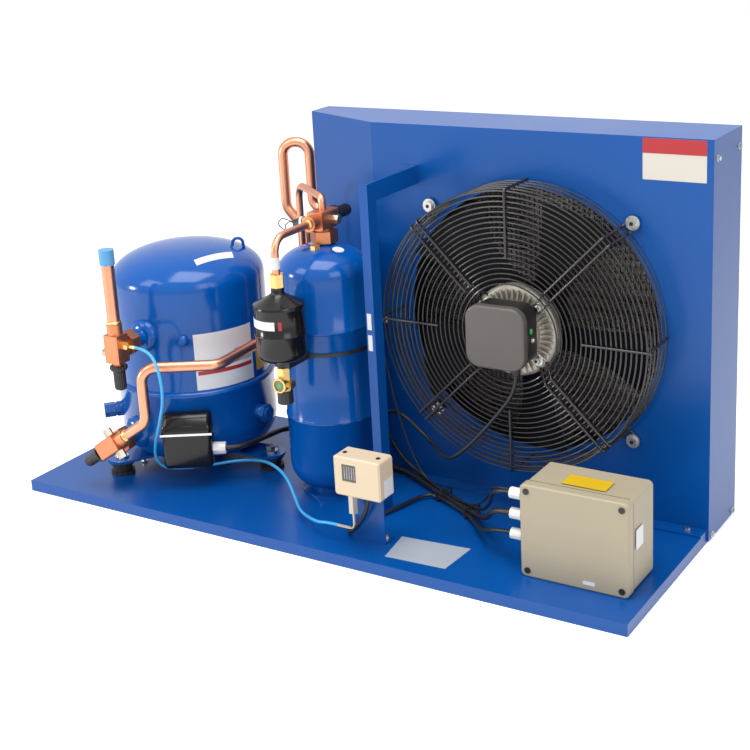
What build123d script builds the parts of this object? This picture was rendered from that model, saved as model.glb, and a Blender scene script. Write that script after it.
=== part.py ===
"""Refrigeration condensing unit: hermetic compressor, air-cooled condenser with fan, receiver and controls.

Millimetres. X runs right along the tray, Y to the rear, Z up; the origin is the centre of the tray's
bottom plane. Every node is written to parts/NODE.step.
"""

import os
from math import atan2, cos, degrees, pi, radians, sin, sqrt, tan

from build123d import *

# --- base tray -------------------------------------------------------------------------------------
TRAY_LENGTH = 1170.0
TRAY_WIDTH = 455.0
TRAY_HEIGHT = 20.0
SHEET = 3.0
LIP_WIDTH = 34.0
MOUNT_HOLE_R = 5.5
MOUNT_INSET_X = 20.0
MOUNT_INSET_Y = 37.5

# --- condenser housing -----------------------------------------------------------------------------
HOUSING_DEPTH = 127.0
HOUSING_LENGTH = 766.0
HOUSING_TOP = 654.0
SLANT_LENGTH = 170.0
SLANT_DEPTH = 72.0
FLANGE_DEPTH = 28.0

# --- fan and guard ---------------------------------------------------------------------------------
FAN_FROM_RIGHT = 304.0
FAN_HEIGHT = 338.0
OPENING_R = 224.0
INLET_DEPTH = 34.0
GUARD_R = 237.0
GUARD_INNER_R = 107.0
GUARD_DEPTH = 82.0
GUARD_WIRE = 3.0
GUARD_RINGS = 12
GUARD_SIDE_RINGS = 4
GUARD_CHORDS = 28
INLET_CHORDS = 48
STRUT_WIRE = 4.0
STRUT_GAP = 15.0
STUB_INNER_R = 128.0
GUARD_BOLT_R = 256.0
BLADE_COUNT = 5
BLADE_TIP_R = 214.0
BLADE_CHORD = 128.0
BLADE_PITCH = 27.0
BLADE_SHEET = 2.5
HUB_R = 62.0
HUB_LENGTH = 58.0
SHAFT_R = 9.0
RUNNING_FIT = 0.05
STATOR_R = 47.0
STATOR_FLANGE_R = 66.0
STATOR_RIB_COUNT = 20
MOTOR_LUG_Y = 40.0
FAN_BOX_SIZE = 104.0
FAN_BOX_DEPTH = 42.0
FAN_LID_DEPTH = 9.0

# --- condenser coil --------------------------------------------------------------------------------
COIL_DEPTH = 34.0
COIL_REAR_GAP = 3.0
COIL_FIN_PITCH = 22.0
COIL_SLOT = 9.0
COIL_LEFT_GAP = 52.0
COIL_RIGHT_GAP = 30.0
COIL_PLATE_OVERLAP = 6.0
COIL_TUBE_R = 5.0
HEADER_R = 9.0
COIL_BENDS = 6

# --- compressor ------------------------------------------------------------------------------------
COMP_X = -371.5
COMP_Y = 15.5
SHELL_R = 144.0
SHELL_TOP_R = 140.0
CAVITY_R = 104.0
CAVITY_FLOOR = 16.0
CAVITY_HEIGHT = 300.0
SHELL_BOTTOM = 50.0
SEAM_HEIGHT = 189.0
SHELL_TOP = 433.0
DOME_HEIGHT = 62.0
FOOT_RADIUS = 160.0
FOOT_PLATE = 5.0
GROMMET_R = 22.0
GROMMET_HEIGHT = 25.0
FOOT_BOLT_R = 4.0
BOSS_R = 23.0
STUB_R = 14.0
COVER_ANGLE = -59.0
COVER_WIDTH = 88.0
COVER_DEPTH = 40.0
COVER_BOTTOM = 62.0
COVER_HEIGHT = 98.0
COVER_GLAND_Z = 93.0
COVER_GLAND = 22.0
OIL_CAP_ANGLE = -133.0
OIL_CAP_Z = 132.0
SIGHT_ANGLE = -2.0
SIGHT_Z = 128.0
NIPPLE_ANGLE = -57.0
NIPPLE_Z = 290.0
LUG_ANGLE = 35.0

# --- rotolock service valves -----------------------------------------------------------------------
VALVE_WIDTH = 31.0
VALVE_LENGTH = 50.0
VALVE_TAIL = 14.0
VALVE_SOCKET_R = 13.5
VALVE_SOCKET = 19.0
VALVE_NECK_R = 8.0
VALVE_NECK = 14.0
NUT_FLATS = 41.0
NUT_LENGTH = 20.0
VALVE_REACH = 56.0
STEM_SIZE = 6.2
STEM_LENGTH = 34.0
STEM_BORE_R = 4.45
CAP_R = 9.6
CAP_FLARE_R = 15.0
CAP_LENGTH = 44.0
CAP_WALL = 1.5
VALVE_Y = -196.0
SUCTION_X = -365.0
SUCTION_Z = 297.0
DISCHARGE_X = -402.0
DISCHARGE_Z = 109.0
DISCHARGE_TILT = 34.0
SUCTION_TUBE_R = 11.1
SUCTION_TUBE_TOP = 470.0
STUB_CAP_LENGTH = 26.0
STUB_CAP_WALL = 2.0

# --- pipework --------------------------------------------------------------------------------------
HOT_TUBE_R = 9.5
LIQUID_TUBE_R = 6.35
BEND_R = 26.0
HOT_ENTRY_Y = 197.0
HOT_ENTRY_Z = 468.0
LIQUID_Y = 81.0
LIQUID_ENTRY_Z = 120.0

# --- receiver --------------------------------------------------------------------------------------
RECEIVER_X = -57.0
RECEIVER_Y = 0.0
RECEIVER_R = 79.5
RECEIVER_BOTTOM = 34.0
RECEIVER_TOP = 462.0
RECEIVER_LOW_SEAM = 165.0
RECEIVER_HIGH_SEAM = 327.0
RECEIVER_DOME = 45.0
SKIRT_R = 46.0
RECEIVER_VALVE_Y = 8.0
RECEIVER_VALVE_Z = 504.0
BRANCH_TILT = 15.0

# --- filter drier and sight glass ------------------------------------------------------------------
DRIER_X = -57.0
DRIER_Y = -134.0
DRIER_R = 42.0
DRIER_BOTTOM = 297.0
DRIER_TOP = 411.0
DRIER_CONE = 16.0
DRIER_NECK_R = 9.0
DRIER_NECK = 12.0
FLARE_NUT_FLATS = 21.0
FLARE_NUT = 22.0
SIGHT_SIZE = 24.0
SIGHT_LENGTH = 40.0
STRAP_Z = 286.5
STRAP_HEIGHT = 6.0

# --- post, pressure switch, electrical box ---------------------------------------------------------
POST_X = 77.0
POST_FRONT = -58.0
POST_DEPTH = 26.0
POST_FLANGE = 16.0
POST_TOP = 585.0
ARM_HEIGHT = 31.0
SWITCH_X = 122.0
SWITCH_BACK = -164.5
SWITCH_WIDTH = 86.0
SWITCH_DEPTH = 40.0
SWITCH_HEIGHT = 67.0
SWITCH_BOTTOM = 113.0
SPINDLE_R = 3.5
SPINDLE_SPACING = 62.0
CONNECTOR_X = 100.0
CONNECTOR_Y = -185.0
HOSE_END_X = 66.0
HOSE_END_Z = 48.0
SWITCH_CABLE_X = 124.0
SWITCH_CABLE_Y = -178.0
BRACKET_WIDTH = 62.0
BOX_X = 472.5
BOX_FRONT = -161.0
BOX_WIDTH = 175.0
BOX_DEPTH = 97.0
BOX_HEIGHT = 152.0
BOX_LID = 18.0
BOX_GLAND_R = 9.0
BOX_GLAND = 31.0
BOX_GLAND_HEIGHTS = [52.0, 86.0, 120.0]

# --- cables and capillary --------------------------------------------------------------------------
HOSE_R = 2.7
MAIN_CABLE_R = 5.0
THIN_CABLE_R = 3.2
LEAD_R = 1.6
LEAD_X = 0.0
LEAD_Z = 305.0
CAPILLARY_Z = 303.0
CAPILLARY_START = -321.5
BUNDLE_PITCH = 9.0
FLANGE_SCREW_X = 557.0

# --- derived places --------------------------------------------------------------------------------
HALF_LENGTH = TRAY_LENGTH / 2
HALF_WIDTH = TRAY_WIDTH / 2
PANEL_Y = HALF_WIDTH - HOUSING_DEPTH
HOUSING_LEFT = HALF_LENGTH - HOUSING_LENGTH
PANEL_LEFT = HOUSING_LEFT + SLANT_LENGTH
SLANT_Y = PANEL_Y + SLANT_DEPTH
FAN_X = HALF_LENGTH - FAN_FROM_RIGHT
GUARD_FRONT = PANEL_Y - GUARD_DEPTH
BOX_GLAND_Y = BOX_FRONT + BOX_LID + 12
SIGHT_TOP = DRIER_BOTTOM - DRIER_NECK
SPINDLE_Y = SWITCH_BACK - 22
STATOR_FRONT = MOTOR_LUG_Y - 20
STATOR_REAR = MOTOR_LUG_Y + 24
HUB_FRONT = STATOR_REAR + 3
FAN_GLAND_TOP = (FAN_X + 24, STATOR_FRONT - 26, FAN_HEIGHT - FAN_BOX_SIZE / 2 + 8)
COIL_LEFT = HOUSING_LEFT + COIL_LEFT_GAP
COIL_RIGHT = HALF_LENGTH - COIL_RIGHT_GAP
COIL_REAR = HALF_WIDTH - COIL_REAR_GAP
COIL_FRONT = COIL_REAR - COIL_DEPTH
COIL_TOP = HOUSING_TOP - 2 * SHEET
HEADER_X = COIL_LEFT - SHEET - 24
DISCHARGE_AXIS = Vector(cos(radians(DISCHARGE_TILT)), 0, sin(radians(DISCHARGE_TILT)))

os.makedirs("parts", exist_ok=True)


# --- helpers ---------------------------------------------------------------------------------------
def save(name, *shapes):
    """Write one node; several solids stay separate inside it."""
    solids = [solid for shape in shapes for solid in shape.solids()]
    export_step(Compound(children=solids, label=name), f"parts/{name}.step")


def block(x0, x1, y0, y1, z0, z1):
    """A box between two corners."""
    size = Box(x1 - x0, y1 - y0, z1 - z0, align=Align.MIN)
    return Pos(x0, y0, z0) * size


def rod(start, direction, r, length):
    """A cylinder from a point along a direction."""
    return extrude(Plane(origin=start, z_dir=direction) * Circle(r), amount=length)


def hexagon(start, direction, flats, length, bore=0.0):
    """A hexagonal nut or plug from a point along a direction."""
    face = RegularPolygon(flats / sqrt(3), 6)
    if bore:
        face = face - Circle(bore)
    return extrude(Plane(origin=start, z_dir=direction) * face, amount=length)


def ring(start, direction, outer, inner, length):
    """A plain washer or sleeve."""
    return extrude(Plane(origin=start, z_dir=direction) * (Circle(outer) - Circle(inner)), amount=length)


def turned(profile, x, y):
    """A profile of (radius, height) points turned about a vertical axis."""
    face = make_face(Polyline(*[(r, 0, z) for r, z in profile], close=True))
    return Pos(x, y, 0) * revolve(face, Axis.Z)


def bend_radii(points, largest):
    """A bend for each corner of a route, as large as its runs allow."""
    radii = []
    for a, b, c in zip(points, points[1:], points[2:]):
        before, after = b - a, c - b
        turn = radians(before.get_angle(after))
        radii.append(min(largest, 0.45 * min(before.length, after.length) / tan(turn / 2)))
    return radii


def polygon_about(r, sides):
    """A regular polygon that holds a circle of this radius."""
    return RegularPolygon(r / cos(pi / sides), sides)


def bent_rod(points, r, largest, sides=8):
    """A tube or cable: straight runs joined by tangent arcs, with a faceted section."""
    points = [Vector(*p) for p in points]
    radii = bend_radii(points, largest)
    print("bend radii", [round(value, 1) for value in radii])
    path = FilletPolyline(*points, radius=radii)
    return sweep(Plane(origin=path @ 0, z_dir=path % 0) * RegularPolygon(r, sides), path=path)


def prism(start, direction, r, length, sides=12, bore=0.0):
    """A low-sided round piece, such as a small cap, plug or washer."""
    face = RegularPolygon(r, sides)
    if bore:
        face = face - polygon_about(bore, sides)
    return extrude(Plane(origin=start, z_dir=direction) * face, amount=length)


def washer_head(start, direction, r, height):
    """A bolt as seen from outside: a washer with a hexagon head on it."""
    washer_height = 0.3 * height
    tip = Vector(*start) + Vector(*direction).normalized() * washer_height
    return prism(start, direction, r, washer_height) + hexagon(tip, direction, 1.25 * r, height - washer_height)


def around(count, first=0.0):
    """Equally spaced angles in degrees."""
    return [first + 360.0 * i / count for i in range(count)]


# --- base tray -------------------------------------------------------------------------------------
def base_tray():
    """Folded tray: top plate, four down-turned flanges and a drilled return lip along each short end."""
    outer = block(-HALF_LENGTH, HALF_LENGTH, -HALF_WIDTH, HALF_WIDTH, 0, TRAY_HEIGHT)
    inside = block(
        -HALF_LENGTH + SHEET, HALF_LENGTH - SHEET,
        -HALF_WIDTH + SHEET, HALF_WIDTH - SHEET,
        -1, TRAY_HEIGHT - SHEET,
    )
    tray = outer - inside
    for side in (-1, 1):
        near = side * (HALF_LENGTH - SHEET)
        far = side * (HALF_LENGTH - LIP_WIDTH)
        lip = block(min(near, far), max(near, far), -HALF_WIDTH + SHEET, HALF_WIDTH - SHEET, 0, SHEET)
        tray = tray + lip
    holes = [
        rod((x * (HALF_LENGTH - MOUNT_INSET_X), y * (HALF_WIDTH - MOUNT_INSET_Y), -1), (0, 0, 1),
            MOUNT_HOLE_R, SHEET + 2)
        for x in (-1, 1)
        for y in (-1, 1)
    ]
    return tray - holes


# --- housing ---------------------------------------------------------------------------------------
def housing_outline(inset=0.0, right=HALF_LENGTH):
    """Plan outline of the housing, open at the rear, as (x, y) points from rear left to rear right."""
    slope = SLANT_DEPTH / SLANT_LENGTH
    shift = inset * (sqrt(1 + slope**2) - 1) / slope
    return [
        (HOUSING_LEFT + inset, HALF_WIDTH),
        (HOUSING_LEFT + inset, SLANT_Y + inset * (sqrt(1 + slope**2) - slope)),
        (PANEL_LEFT + shift, PANEL_Y + inset),
        (right, PANEL_Y + inset),
    ]


def housing_wrap():
    """Front panel with the fan opening, slanted face, short left side and bottom flange, in one sheet."""
    outer = housing_outline()
    inner = housing_outline(SHEET)
    plan = make_face(Polyline(*outer, *reversed(inner), close=True))
    wrap = Pos(0, 0, TRAY_HEIGHT) * extrude(plan, amount=HOUSING_TOP - SHEET - TRAY_HEIGHT)
    flange = block(PANEL_LEFT, HALF_LENGTH, PANEL_Y - FLANGE_DEPTH, PANEL_Y, TRAY_HEIGHT, TRAY_HEIGHT + SHEET)
    opening = rod((FAN_X, PANEL_Y - 1, FAN_HEIGHT), (0, 1, 0), OPENING_R, SHEET + 2)
    hot_hole = rod((HOUSING_LEFT - 1, HOT_ENTRY_Y, HOT_ENTRY_Z), (1, 0, 0), HOT_TUBE_R + 2, SHEET + 2)
    liquid_hole = rod((HEADER_X, LIQUID_Y, LIQUID_ENTRY_Z), (0, 1, 0), LIQUID_TUBE_R + 2, 120)
    return wrap + flange - opening - hot_hole - liquid_hole


def housing_top():
    """Pentagonal cover plate that closes the housing."""
    outline = [*housing_outline(right=HALF_LENGTH + SHEET), (HALF_LENGTH + SHEET, HALF_WIDTH)]
    return Pos(0, 0, HOUSING_TOP - SHEET) * extrude(make_face(Polyline(*outline, close=True)), amount=SHEET)


def housing_side():
    """Right side panel, lapped over the tray's flange, with an inner return along its front edge."""
    side = block(HALF_LENGTH, HALF_LENGTH + SHEET, PANEL_Y, HALF_WIDTH, 3, HOUSING_TOP - SHEET)
    return side


def fan_inlet_ring():
    """Rolled inlet ring behind the panel's opening, with a flange against the panel."""
    face_y = PANEL_Y + SHEET
    flare = prism((FAN_X, face_y, FAN_HEIGHT), (0, 1, 0), OPENING_R + 20, SHEET, INLET_CHORDS, OPENING_R)
    throat = prism((FAN_X, face_y + SHEET, FAN_HEIGHT), (0, 1, 0), OPENING_R + SHEET + 1, INLET_DEPTH - SHEET,
                   INLET_CHORDS, OPENING_R)
    return flare + throat


# --- condenser coil --------------------------------------------------------------------------------
def coil_fins():
    """Fin pack: a block combed from the rear by vertical air slots."""
    low = TRAY_HEIGHT
    pack = block(COIL_LEFT, COIL_RIGHT, COIL_FRONT, COIL_REAR, low, COIL_TOP)
    slots = []
    count = int((COIL_RIGHT - COIL_LEFT) / COIL_FIN_PITCH)
    margin = (COIL_RIGHT - COIL_LEFT - (count - 1) * COIL_FIN_PITCH) / 2
    for i in range(count):
        x = COIL_LEFT + margin + i * COIL_FIN_PITCH
        slots.append(block(x - COIL_SLOT / 2, x + COIL_SLOT / 2, COIL_REAR - COIL_DEPTH / 3, COIL_REAR + 1,
                           low - 1, COIL_TOP + 1))
    return pack - slots


def coil_end_plates():
    """Two sheet plates that carry the coil at its ends."""
    left = block(COIL_LEFT - SHEET, COIL_LEFT, COIL_FRONT - COIL_PLATE_OVERLAP, COIL_REAR, TRAY_HEIGHT, COIL_TOP)
    right = block(COIL_RIGHT, COIL_RIGHT + SHEET, COIL_FRONT - COIL_PLATE_OVERLAP, COIL_REAR, TRAY_HEIGHT, COIL_TOP)
    return left, right


def coil_headers():
    """Gas header above and liquid header below, each with two feed stubs into the coil's end plate."""
    y = HOT_ENTRY_Y
    headers = []
    for low, high in ((HOT_ENTRY_Z - 120, HOT_ENTRY_Z + 90), (LIQUID_ENTRY_Z - 60, LIQUID_ENTRY_Z + 60)):
        pipe = prism((HEADER_X, y, low), (0, 0, 1), HEADER_R, high - low, 8)
        for z in (low + 25, high - 25):
            pipe = pipe + prism((HEADER_X, y, z), (1, 0, 0), COIL_TUBE_R, COIL_LEFT - SHEET - HEADER_X, 8)
        headers.append(pipe)
    return headers


def coil_return_bends():
    """Hairpin bends at the coil's right end."""
    bends = []
    y = (COIL_FRONT + COIL_REAR) / 2
    x = COIL_RIGHT + SHEET
    section = Plane.XY * Pos(12.5, 0) * RegularPolygon(COIL_TUBE_R, 6)
    hairpin = revolve(section, Axis.Y, 180)
    for i in range(COIL_BENDS):
        bends.append(Pos(x, y, 90 + 95 * i) * Rot(0, -90, 0) * hairpin)
    return bends


# --- fan -------------------------------------------------------------------------------------------
def fan_solid(shape, turn=0.0):
    """Place a shape made about the Y axis at the origin on the fan's axis, turned about it."""
    return Pos(FAN_X, 0, FAN_HEIGHT) * Rot(0, turn, 0) * shape


def wire(start, end, width, offset=0.0):
    """A square wire in the plane of one radius: points are (radius, y); offset is sideways."""
    (r0, y0), (r1, y1) = start, end
    length = sqrt((r1 - r0) ** 2 + (y1 - y0) ** 2)
    bar = Box(length + width, width, width)
    angle = degrees(atan2(y1 - y0, r1 - r0))
    return Pos((r0 + r1) / 2, (y0 + y1) / 2, offset) * Rot(0, 0, angle) * bar


def bent_wire(points, width, offset=0.0):
    """Square wire through (radius, y) points."""
    pieces = [wire(a, b, width, offset) for a, b in zip(points, points[1:])]
    return pieces[0] + pieces[1:]


def guard_ring(r, y, width):
    """One ring of the guard, bent from straight chords, its front face at y."""
    face = RegularPolygon(r, GUARD_CHORDS) - RegularPolygon(r - width, GUARD_CHORDS)
    ring_solid = extrude(Plane(origin=(0, y, 0), x_dir=(1, 0, 0), z_dir=(0, 1, 0)) * face, amount=width)
    return fan_solid(ring_solid)


def fan_guard():
    """Wire guard: concentric front rings, side rings, four twin struts and four short stubs."""
    rings = []
    for i in range(GUARD_RINGS):
        r = GUARD_INNER_R + (GUARD_R - GUARD_INNER_R) * i / (GUARD_RINGS - 1)
        rings.append(guard_ring(r, GUARD_FRONT, GUARD_WIRE))
    for i in range(GUARD_SIDE_RINGS):
        y = GUARD_FRONT + (GUARD_DEPTH - 8) * (i + 1) / GUARD_SIDE_RINGS
        rings.append(guard_ring(GUARD_R, y, GUARD_WIRE))
    struts = []
    front = GUARD_FRONT - STRUT_WIRE / 2
    rear = PANEL_Y - STRUT_WIRE / 2
    outer = GUARD_R + STRUT_WIRE / 2
    route = [(STATOR_R + 9, MOTOR_LUG_Y), (STATOR_FLANGE_R + 6, MOTOR_LUG_Y), (GUARD_INNER_R - 8, front),
             (outer, front), (outer, rear), (GUARD_BOLT_R + 8, rear)]
    for turn in around(4, 45):
        pair = [bent_wire(route, STRUT_WIRE, side * STRUT_GAP / 2) for side in (-1, 1)]
        end = Pos(GUARD_BOLT_R + 8, rear, 0) * Box(STRUT_WIRE, STRUT_WIRE, STRUT_GAP)
        struts.append(fan_solid(pair[0] + pair[1] + end, turn))
    for turn in around(4):
        stub = bent_wire([(STUB_INNER_R, front), (outer, front), (outer, rear)], STRUT_WIRE)
        struts.append(fan_solid(stub, turn))
    return [*rings, *struts]


def guard_bolts():
    """Four guard bolts whose washers clamp the twin struts to the panel."""
    bolts = []
    seat = PANEL_Y - STRUT_WIRE
    for turn in around(4, 45):
        a = radians(turn)
        x, z = FAN_X + GUARD_BOLT_R * cos(a), FAN_HEIGHT + GUARD_BOLT_R * sin(a)
        spacer = hexagon((x, seat, z), (0, 1, 0), 8, STRUT_WIRE)
        bolts.append(spacer + washer_head((x, seat, z), (0, -1, 0), 12, 8))
    return bolts


def fan_motor_stator():
    """Fixed half of the external-rotor motor: ribbed casting, four lugs and the axle."""
    centre = (FAN_X, STATOR_FRONT, FAN_HEIGHT)
    body = rod(centre, (0, 1, 0), STATOR_R, STATOR_REAR - STATOR_FRONT - 6)
    body = body + rod((FAN_X, STATOR_REAR - 6, FAN_HEIGHT), (0, 1, 0), STATOR_FLANGE_R - 4, 6)
    ribs = []
    for turn in around(STATOR_RIB_COUNT, 9):
        rib = block(STATOR_R - 2, STATOR_FLANGE_R - 6, MOTOR_LUG_Y - 6, STATOR_REAR - 6, -1.5, 1.5)
        ribs.append(fan_solid(rib, turn))
    lug_front = MOTOR_LUG_Y + STRUT_WIRE / 2
    for turn in around(4, 45):
        lug = block(STATOR_R - 2, STATOR_FLANGE_R, lug_front, lug_front + 6,
                    -STRUT_GAP / 2 - 6, STRUT_GAP / 2 + 6)
        ribs.append(fan_solid(lug, turn))
    axle = rod((FAN_X, STATOR_REAR, FAN_HEIGHT), (0, 1, 0), SHAFT_R, HUB_LENGTH - 6)
    return body + ribs + axle


def fan_rotor_hub():
    """Rotor cup that turns on the axle, open towards the stator."""
    centre = (FAN_X, HUB_FRONT, FAN_HEIGHT)
    cup = rod(centre, (0, 1, 0), HUB_R, HUB_LENGTH)
    hollow = prism(centre, (0, 1, 0), HUB_R - 5, 22, 16, SHAFT_R + 6)
    bore = rod(centre, (0, 1, 0), SHAFT_R + RUNNING_FIT, HUB_LENGTH - 6)
    rounded = chamfer(cup.edges().sort_by(Axis.Y)[-1], 6)
    return rounded - hollow - bore


def fan_blades():
    """Swept sheet blades, each riveted to the hub by its own root."""
    half = BLADE_CHORD / 2
    root = HUB_R - 3
    tip = BLADE_TIP_R
    leading = ThreePointArc((root, half * 0.45), ((root + tip) / 2, half * 0.95), (tip * 0.93, half * 1.5))
    outer = ThreePointArc((tip * 0.93, half * 1.5), (tip, half * 0.4), (tip * 0.955, -half * 0.75))
    trailing = ThreePointArc((tip * 0.955, -half * 0.75), ((root + tip) / 2, -half * 0.35), (root, -half * 0.55))
    inner = Line((root, -half * 0.55), (root, half * 0.45))
    planform = make_face([leading, outer, trailing, inner])
    sheet = extrude(Plane.XZ * planform, amount=BLADE_SHEET / 2, both=True)
    blade = Pos(0, HUB_FRONT + HUB_LENGTH / 2, 0) * Rot(BLADE_PITCH, 0, 0) * sheet
    hub = rod((0, HUB_FRONT - 40, 0), (0, 1, 0), HUB_R, HUB_LENGTH + 80)
    blade = blade - hub
    return [fan_solid(blade, turn) for turn in around(BLADE_COUNT, 18)]


def fan_terminal_box():
    """Square terminal box on the front of the stator, with a cable gland boss below."""
    half = FAN_BOX_SIZE / 2
    front = STATOR_FRONT - FAN_BOX_DEPTH
    box = block(-half, half, front, STATOR_FRONT, -half + 8, half + 8)
    box = chamfer(box.edges().filter_by(Axis.Y), 9)
    return fan_solid(box)


def fan_terminal_lid():
    """Lid of the fan's terminal box."""
    half = FAN_BOX_SIZE / 2
    rear = STATOR_FRONT - FAN_BOX_DEPTH
    lid = block(-half, half, rear - FAN_LID_DEPTH, rear, -half + 8, half + 8)
    lid = chamfer(lid.edges().filter_by(Axis.Y), 9)
    lid = chamfer(lid.faces().sort_by(Axis.Y)[0].edges(), 3)
    return fan_solid(lid)


# --- compressor ------------------------------------------------------------------------------------
def at_compressor(angle, r, z):
    """A point at an angle and radius from the compressor's axis."""
    return Vector(COMP_X + r * cos(radians(angle)), COMP_Y + r * sin(radians(angle)), z)


def outward(angle):
    """Unit vector away from the compressor's axis."""
    return Vector(cos(radians(angle)), sin(radians(angle)), 0)


def compressor_lower_shell():
    """Drawn lower cup with a rolled seam edge, and bosses for the discharge stub and oil fittings."""
    bottom, rim = SHELL_BOTTOM, SEAM_HEIGHT
    profile = [(0, bottom), (96, bottom), (SHELL_R - 8, bottom + 28), (SHELL_R, bottom + 56),
               (SHELL_R, rim - 6), (SHELL_R + 2.5, rim - 4), (SHELL_R + 2.5, rim), (0, rim)]
    shell = turned(profile, COMP_X, COMP_Y)
    for angle, z in ((OIL_CAP_ANGLE, OIL_CAP_Z), (SIGHT_ANGLE, SIGHT_Z)):
        shell = shell + prism(at_compressor(angle, SHELL_R - 10, z), outward(angle), 13, 22)
    shell = shell + stub_boss(DISCHARGE_X, DISCHARGE_Z)
    return shell - compressor_cavity()


def compressor_cavity():
    """The room inside the shell for the pump and its motor."""
    floor = SHELL_BOTTOM + CAVITY_FLOOR
    return prism((COMP_X, COMP_Y, floor), (0, 0, 1), CAVITY_R, CAVITY_HEIGHT, 24)


def compressor_upper_shell():
    """Drawn upper cap, nested at the seam, with the suction stub, a pinched nipple and the lifting lug."""
    base = SEAM_HEIGHT
    shoulder = SHELL_TOP - DOME_HEIGHT
    profile = [(0, base), (SHELL_TOP_R, base), (SHELL_TOP_R, shoulder), (SHELL_TOP_R - 5, shoulder + 17),
               (SHELL_TOP_R - 22, shoulder + 34), (SHELL_TOP_R - 62, shoulder + 52), (0, SHELL_TOP)]
    shell = turned(profile, COMP_X, COMP_Y)
    nipple = prism(at_compressor(NIPPLE_ANGLE, SHELL_TOP_R - 10, NIPPLE_Z), outward(NIPPLE_ANGLE), 7, 22, 8)
    return shell + nipple + stub_boss(SUCTION_X, SUCTION_Z) + lifting_lug() - compressor_cavity()


def stub_boss(x, z):
    """Weld boss and rotolock stub that point to the front, ending at the valve's seat."""
    root = COMP_Y - SHELL_TOP_R + 20
    end = VALVE_Y + VALVE_WIDTH / 2 + VALVE_TAIL
    face = COMP_Y - SHELL_R - 6
    return rod((x, face, z), (0, 1, 0), BOSS_R, root - face) + rod((x, end, z), (0, 1, 0), STUB_R, root - end)


def compressor_feet():
    """Three-armed foot plate welded under the shell."""
    z = TRAY_HEIGHT + GROMMET_HEIGHT
    plate = rod((COMP_X, COMP_Y, z), (0, 0, 1), 66, FOOT_PLATE)
    for angle in around(3):
        centre = at_compressor(angle, FOOT_RADIUS, z)
        arm = Pos(COMP_X, COMP_Y, z) * Rot(0, 0, angle) * block(0, FOOT_RADIUS, -26, 26, 0, FOOT_PLATE)
        plate = plate + arm + rod(centre, (0, 0, 1), 26, FOOT_PLATE)
    for angle in around(3):
        plate = plate - rod(at_compressor(angle, FOOT_RADIUS, z - 1), (0, 0, 1), FOOT_BOLT_R + 1, FOOT_PLATE + 2)
    return plate


def compressor_grommets():
    """Rubber mounts, each a waisted bush between the tray and the foot plate."""
    grommets = []
    for angle in around(3):
        foot = at_compressor(angle, FOOT_RADIUS, TRAY_HEIGHT)
        bore = FOOT_BOLT_R + 1.2
        bush = prism(foot, (0, 0, 1), GROMMET_R - 5, GROMMET_HEIGHT, 12, bore)
        for z in (TRAY_HEIGHT, TRAY_HEIGHT + GROMMET_HEIGHT - 7):
            bush = bush + prism(at_compressor(angle, FOOT_RADIUS, z), (0, 0, 1), GROMMET_R, 7, 12, bore)
        grommets.append(bush)
    return grommets


def compressor_foot_bolts():
    """Bolts through the grommets, standing on the tray, with washers on the foot plate."""
    top = TRAY_HEIGHT + GROMMET_HEIGHT + FOOT_PLATE
    bolts = []
    for angle in around(3):
        shank = prism(at_compressor(angle, FOOT_RADIUS, TRAY_HEIGHT), (0, 0, 1), FOOT_BOLT_R, top - TRAY_HEIGHT, 8)
        bolts.append(shank + washer_head(at_compressor(angle, FOOT_RADIUS, top), (0, 0, 1), 13, 12))
    return bolts


def compressor_pump_block():
    """Motor with the pump on it inside the shell, kept as one block on its floor."""
    floor = SHELL_BOTTOM + CAVITY_FLOOR
    stator = prism((COMP_X, COMP_Y, floor), (0, 0, 1), 90, 150, 24)
    return stator + prism((COMP_X, COMP_Y, floor + 150), (0, 0, 1), 60, 90, 24)


def cover_frame(z):
    """Frame on the shell behind the terminal cover: X along the shell, Y outward, Z up."""
    out = outward(COVER_ANGLE)
    along = Vector(-out.Y, out.X, 0)
    return Plane(origin=at_compressor(COVER_ANGLE, 0, z), x_dir=along, z_dir=(0, 0, 1))


def compressor_terminal_cover():
    """Moulded terminal cover with a sloped top, hollowed to the shell's round."""
    frame = cover_frame(COVER_BOTTOM)
    reach = SHELL_R + COVER_DEPTH - 6
    profile = [(0, 0), (reach, 0), (reach, COVER_HEIGHT - 22), (reach - 20, COVER_HEIGHT), (0, COVER_HEIGHT)]
    side = Plane(origin=(COVER_WIDTH / 2, 0, 0), x_dir=(0, -1, 0), z_dir=(-1, 0, 0))
    body = extrude(side * make_face(Polyline(*profile, close=True)), amount=COVER_WIDTH)
    body = frame.location * body
    cover_keep = Pos(COMP_X, COMP_Y, COVER_BOTTOM - 10) * Cylinder(
        SHELL_R + 1, COVER_HEIGHT + 20, align=(Align.CENTER, Align.CENTER, Align.MIN))
    return body - cover_keep


def lifting_lug():
    """Round-eyed lifting lug welded on the dome."""
    spot = at_compressor(LUG_ANGLE, 96, SHELL_TOP - 20)
    along = outward(LUG_ANGLE)
    eye = Plane(origin=spot, x_dir=along, z_dir=along.cross(Vector(0, 0, 1)))
    face = Pos(0, 13) * RegularPolygon(11, 16) + Pos(0, 3) * Rectangle(21.6, 20) - Pos(0, 13) * RegularPolygon(7, 12)
    return extrude(eye * face, amount=2.5, both=True)


# --- rotolock service valves -----------------------------------------------------------------------
def suction_frame():
    """Suction valve: local Z towards the tube, local Y towards the seat."""
    return Plane(origin=(SUCTION_X, VALVE_Y, SUCTION_Z), x_dir=(1, 0, 0), z_dir=(0, 0, 1))


def discharge_frame():
    """Discharge valve, tilted so its tube climbs to the right."""
    return Plane(origin=(DISCHARGE_X, VALVE_Y, DISCHARGE_Z), x_dir=DISCHARGE_AXIS.cross(Vector(0, 1, 0)) * -1,
                 z_dir=DISCHARGE_AXIS)


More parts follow.
